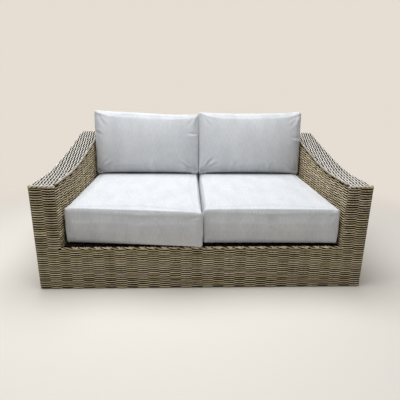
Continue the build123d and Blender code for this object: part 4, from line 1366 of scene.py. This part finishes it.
@dataclass
class BackCushion(Cushion):
    """A fibre-filled pillow with a seam round its edge and pinched corners, leaning on the back."""

    seat: SeatCushion
    foot_y: float
    foot_z: float
    thickness: float = 0.170
    seam_half: float = 0.005
    belly: float = 0.27
    foot_share: float = 0.36
    grid_step: float = 0.0075
    layers: int = 8
    fan_inset: tuple[float, float] = (0.008, 0.016)
    roll_height: float = 0.070
    roll_share: float = 0.55
    sink: float = 0.012
    inflation: Inflation = Inflation(2.0, 12, 0.008)

    def top_line(self, outward: Array) -> Array:
        """Height of the top seam: a shallow dip that ends lower at the inner corner.

        Args:
            outward: 0 at the outer corner to 1 at the inner one.

        Returns:
            The height at each place.
        """
        middle_dip, inner_drop = (0.010, 0.019) if self.side is Side.LEFT else (0.011, 0.006)
        bow = np.clip(4 * outward * (1 - outward), 0, 1) ** 0.8
        return PILLOW_HEIGHT - middle_dip * bow - inner_drop * smoother((outward - 0.25) / 0.7)

    def shape(self, shares: Array) -> Array:
        """Two bowed panels that meet in a seam whose sides draw in between the corners.

        The bow across is a flat-topped curve. Up the pillow it swells from a narrow foot, which
        rolls under, to the belly, and then thins like a wedge to a rim at the top seam.

        Args:
            shares: places on the unit cube; the second one is through the thickness.

        Returns:
            The points, upright, with the foot at height 0 and the middle at depth 0.
        """
        across, through, up = shares[:, 0], shares[:, 1] * 2 - 1, shares[:, 2]
        round_x = np.clip(4 * across * (1 - across), 0, 1)
        rise = np.clip(up / self.belly, 0, 1)
        fall = np.clip((1 - up) / (1 - self.belly), 0, 1)
        low = self.foot_share + (1 - self.foot_share) * (1 - (1 - rise) ** 2.4) ** 0.60
        rim = (1 - (1 - np.clip(fall / 0.05, 0, 1)) ** 2) ** 0.5
        high = 0.15 * rim + 0.85 * (1 - (1 - fall) ** 2.2)
        swell = round_x**0.42 * np.where(up < self.belly, low, high)
        half = self.seam_half + (self.thickness / 2 - self.seam_half) * swell
        outward = across if self.side is Side.LEFT else 1 - across
        return grid((across - 0.5) * (CUSHION_OUTER - CLOTH_INNER - 0.002), through * half,
                    up * self.top_line(outward))

    def folds(self, across: Array, up: Array) -> Array:
        """Depth of the folds: fans at the foot's and the top's corners, and single creases.

        Args:
            across: distance from the pillow's middle.
            up: height above its foot.

        Returns:
            How far to push each point in.
        """
        rows: list[Fold] = []
        for sign in (-1, 1):
            start_x = sign * (PILLOW_SIDE - self.fan_inset[0])
            strength = 1.0 if sign * self.side.value < 0 else 0.7
            for fan, start_z, width, share in ((FOOT_FAN, self.fan_inset[1], 0.0080, strength),
                                               (TOP_FAN, PILLOW_HEIGHT - self.fan_inset[1], 0.009, 1.0)):
                for angle, length, depth in fan:
                    turn = math.radians(angle)
                    end = (start_x - sign * length * math.cos(turn), start_z + length * math.sin(turn))
                    rows.append(((start_x, start_z), end, width, depth * share))
        return sum(crease(across, up, *row) for row in (*rows, *PILLOW_FOLDS[self.side]))

    def pressed(self, points: Array, shares: Array, count: int) -> Array:
        """Stretch the pillow to its own space, fold it, roll its foot under, lean it and set it down.

        Args:
            points: the cover's points, upright.
            shares: their places on the unit cube.
            count: squares up the pillow.

        Returns:
            The points in place.
        """
        half_width = (CUSHION_OUTER - CLOTH_EDGE - CLOTH_INNER) / 2
        # Each height is stretched to the pillow's own width, less the rounding of the corners.
        level = np.round(shares[:, 2] * count).astype(int)
        reach = np.zeros(count + 1)
        np.maximum.at(reach, level, np.abs(points[:, 0]))
        height_share = np.arange(count + 1) / count
        rounding = np.clip((height_share - 0.955) / 0.045, 0, 1) ** 2 + np.clip(1 - height_share / 0.04, 0, 1) ** 2
        target = half_width - 0.006 * rounding
        x = np.clip(points[:, 0] * (target / reach)[level], -half_width, half_width)
        half = self.thickness / 2 - 0.0006
        depth, up = points[:, 1] * half / np.abs(points[:, 1]).max(), points[:, 2]
        push = self.folds(x, up)
        depth = depth + push * smoother(-depth / 0.012) - 0.5 * push * smoother(depth / 0.012)
        # The lowest 70 mm rolls under, so that the belly hangs over the foot.
        roll = 1 - self.roll_share * np.clip(1 - up / self.roll_height, 0, 1) ** 2
        depth = np.clip(depth, -half, half) * roll
        up = np.maximum(up, 0.0004)
        near = over_zip(x, depth) * (up < 0.02)
        up = np.maximum(up, near * ZIP_DEPTH)
        middle = self.side.value * (CUSHION_OUTER - CLOTH_EDGE + CLOTH_INNER) / 2
        lean = math.sin(PILLOW_LEAN)
        placed = grid(middle + x, self.foot_y + depth * math.cos(PILLOW_LEAN) + up * lean,
                      self.foot_z + up * math.cos(PILLOW_LEAN)
                      - np.maximum(depth, 0) * lean * smoother(up / 0.2))
        placed[:, 1] = np.minimum(placed[:, 1], back_line(placed[:, 2]) - 0.0006)
        # The foot sinks on to the crowned seat, most at its corners, but not over its zip.
        seat_top = SEAT_TOP + self.seat.crown(placed[:, 0], placed[:, 1]) + 0.0012
        gap = np.clip(self.foot_z - seat_top, 0, self.sink)
        placed[:, 2] -= gap * smoother(1 - up / 0.12) * (1 - near)
        return placed

    def build(self) -> None:
        """Build the pillow: blown up as cloth, folded, pressed flat at its foot and leant back."""
        counts = (int(2 * PILLOW_SIDE / self.grid_step), self.layers, int(PILLOW_HEIGHT / self.grid_step))
        shares, quads = box_grid(counts)
        piece = mesh_object(f"back_cushion_{self.side.word}_cover", self.shape(shares), quads)
        self.inflation.blow(piece)
        write_points(piece, self.pressed(read_points(piece), shares, counts[2]))
        subdivide(piece)
        self.cover(piece, "back", "fill")


# ---- Frame, deck and fittings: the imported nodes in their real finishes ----

@dataclass
class Hardware:
    """The tubes, straps, staples, glides and zips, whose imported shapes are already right."""

    materials: dict[str, bpy.types.Material]

    def dress(self) -> None:
        """Give every node that stays in view the finish of its slot."""
        rows = {row["node"]: row["material_slot"] for row in frame["record"]["subparts"]}
        for node, slot in sorted(rows.items()):
            piece, material = frame["nodes"][node], self.materials.get(slot)
            if material is None or piece.hide_render or not piece.material_slots:
                continue
            for place in piece.material_slots:
                place.material = material
            log.info("%s: %s", node, material.name)


# ---- Studio ----

@dataclass
class Studio:
    """A plain pale floor that runs into a backdrop tone, soft light from above, and the camera."""

    floor_colour: str = "E1DCD3"
    far_colour: str = "E6DDD3"
    lamp_colour: str = "FAFCFF"
    sky_colour: str = "F6F5F2"
    sky_strength: float = 0.21
    floor_half: float = 20.0
    near_edge: float = 1.35
    far_edge: float = 2.3
    aim: tuple[float, float, float] = (0.0, 0.0, 0.3)
    # Name, place, size and power of each lamp
    lamps: tuple[tuple[str, tuple[float, float, float], float, float], ...] = (
        ("Overhead", (-0.35, 0.05, 3.2), 3.0, 143.0), ("Front", (-0.2, -3.6, 2.2), 2.4, 5.5))
    # The photograph's camera, with its pitch, yaw and roll in degrees
    camera_place: tuple[float, float, float] = (-0.0815, -2.1453, 0.9879)
    camera_angles: tuple[float, float, float] = (17.208, 2.218, 0.664)
    camera_lens: float = 32.886
    sensor_width: float = 36.0

    def floor(self) -> None:
        """A flat floor 40 m across, whose paper turns to the backdrop's tone away from the object.

        Past the far edge a camera ray sees the plain tone, and the object's shadow falls inside it.
        """
        line = np.linspace(-self.floor_half, self.floor_half, 21)
        x, y = np.meshgrid(line, line, indexing="ij")
        number = np.arange(x.size).reshape(x.shape)
        quads = np.stack([number[:-1, :-1], number[1:, :-1], number[1:, 1:], number[:-1, 1:]], -1)
        piece = mesh_object("studio_floor", grid(x, y, 0.0).reshape(-1, 3), quads.reshape(-1, 4))
        material, tree = Finish("matt_studio_paper").start()
        place = add(tree, "TexCoord", out="Object")
        distance = add(tree, "VectorMath", {0: place}, "Value", operation="LENGTH")
        away = add(tree, "MapRange", {0: distance, 1: self.near_edge, 2: self.far_edge},
                   interpolation_type="SMOOTHSTEP")
        paper = shader(material, Base_Color=linear(self.floor_colour), Roughness=0.95, Specular_IOR_Level=0.1)
        glow = add(tree, "Emission", {0: linear(self.far_colour)})
        share = add(tree, "Math", {0: away, 1: add(tree, "LightPath", out="Is Camera Ray")}, operation="MULTIPLY")
        blend = add(tree, "MixShader", {0: share, 1: paper, 2: glow})
        tree.links.new(blend, tree.nodes["Material Output"].inputs[0])
        piece.data.materials.append(material)

    def lights(self) -> None:
        """One broad soft lamp above, a weak one in front, and an even sky."""
        for name, place, size, power in self.lamps:
            lamp = bpy.data.lights.new(name, "AREA")
            lamp.color = linear(self.lamp_colour)[:3]
            lamp.shape, lamp.size, lamp.energy = "SQUARE", size, power
            holder = bpy.data.objects.new(name, lamp)
            turn = (Vector(self.aim) - Vector(place)).to_track_quat("-Z", "Y").to_matrix().to_4x4()
            holder.matrix_world = Matrix.Translation(place) @ turn
            bpy.context.scene.collection.objects.link(holder)
        world = bpy.data.worlds.new("Sky")
        world.use_nodes = True
        tree = world.node_tree
        light = tree.nodes["Background"]
        light.inputs["Color"].default_value = linear(self.sky_colour)
        light.inputs["Strength"].default_value = self.sky_strength
        plain = add(tree, "Background", {0: linear(self.far_colour), 1: 1.0})
        camera_ray = add(tree, "LightPath", out="Is Camera Ray")
        sky = add(tree, "MixShader", {0: camera_ray, 1: light.outputs[0], 2: plain})
        tree.links.new(sky, tree.nodes["World Output"].inputs[0])
        bpy.context.scene.world = world

    def camera(self) -> None:
        """The photograph's viewpoint: turned, tipped down and rolled a little."""
        pitch, yaw, roll = (math.radians(angle) for angle in self.camera_angles)
        ahead = Vector((math.sin(yaw) * math.cos(pitch), math.cos(yaw) * math.cos(pitch), -math.sin(pitch)))
        right = Vector((math.cos(yaw), -math.sin(yaw), 0.0))
        up = right.cross(ahead)
        turned_right = right * math.cos(roll) + up * math.sin(roll)
        turned_up = up * math.cos(roll) - right * math.sin(roll)
        data = bpy.data.cameras.new("Camera")
        data.lens, data.sensor_width, data.sensor_fit = self.camera_lens, self.sensor_width, "HORIZONTAL"
        data.clip_start, data.clip_end = 0.05, 60.0
        holder = bpy.data.objects.new("Camera", data)
        turn = Matrix((turned_right, turned_up, -ahead)).transposed().to_4x4()
        holder.matrix_world = Matrix.Translation(self.camera_place) @ turn
        bpy.context.scene.collection.objects.link(holder)
        bpy.context.scene.camera = holder

    def build(self) -> None:
        """Set the floor, the lights and the camera."""
        self.floor()
        self.lights()
        self.camera()
        bpy.context.scene.view_settings.view_transform = "Standard"


def main() -> None:
    """Build the loveseat piece by piece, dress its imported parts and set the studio."""
    logging.basicConfig(level=logging.INFO, format="%(message)s")
    Studio().build()
    resin = ResinStrand().build()
    cloth = HeatherCloth().build()
    Body(resin).build()
    for side in Side:
        Arm(resin, side).build()
    for side, front_outer, front_inner in ((Side.LEFT, -0.446, -0.5141), (Side.RIGHT, -0.474, -0.464)):
        seat = SeatCushion(side, cloth, front_outer, front_inner)
        seat.build()
        pillow_low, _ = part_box(f"back_cover_{side.word}")
        zip_low, zip_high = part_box(f"back_zip_{side.word}")
        BackCushion(side, cloth, seat, (zip_low[1] + zip_high[1]) / 2, pillow_low[2]).build()
    steel = ZincedSteel().build()
    Hardware({"frame_coat": PowderCoat().build(), "deck_webbing": Webbing().build(), "staple_steel": steel,
              "glide_nylon": MouldedNylon().build(), "zip_tape": ZipChain().build(),
              "zip_slider": steel}).dress()


if __name__ == "__main__":
    main()
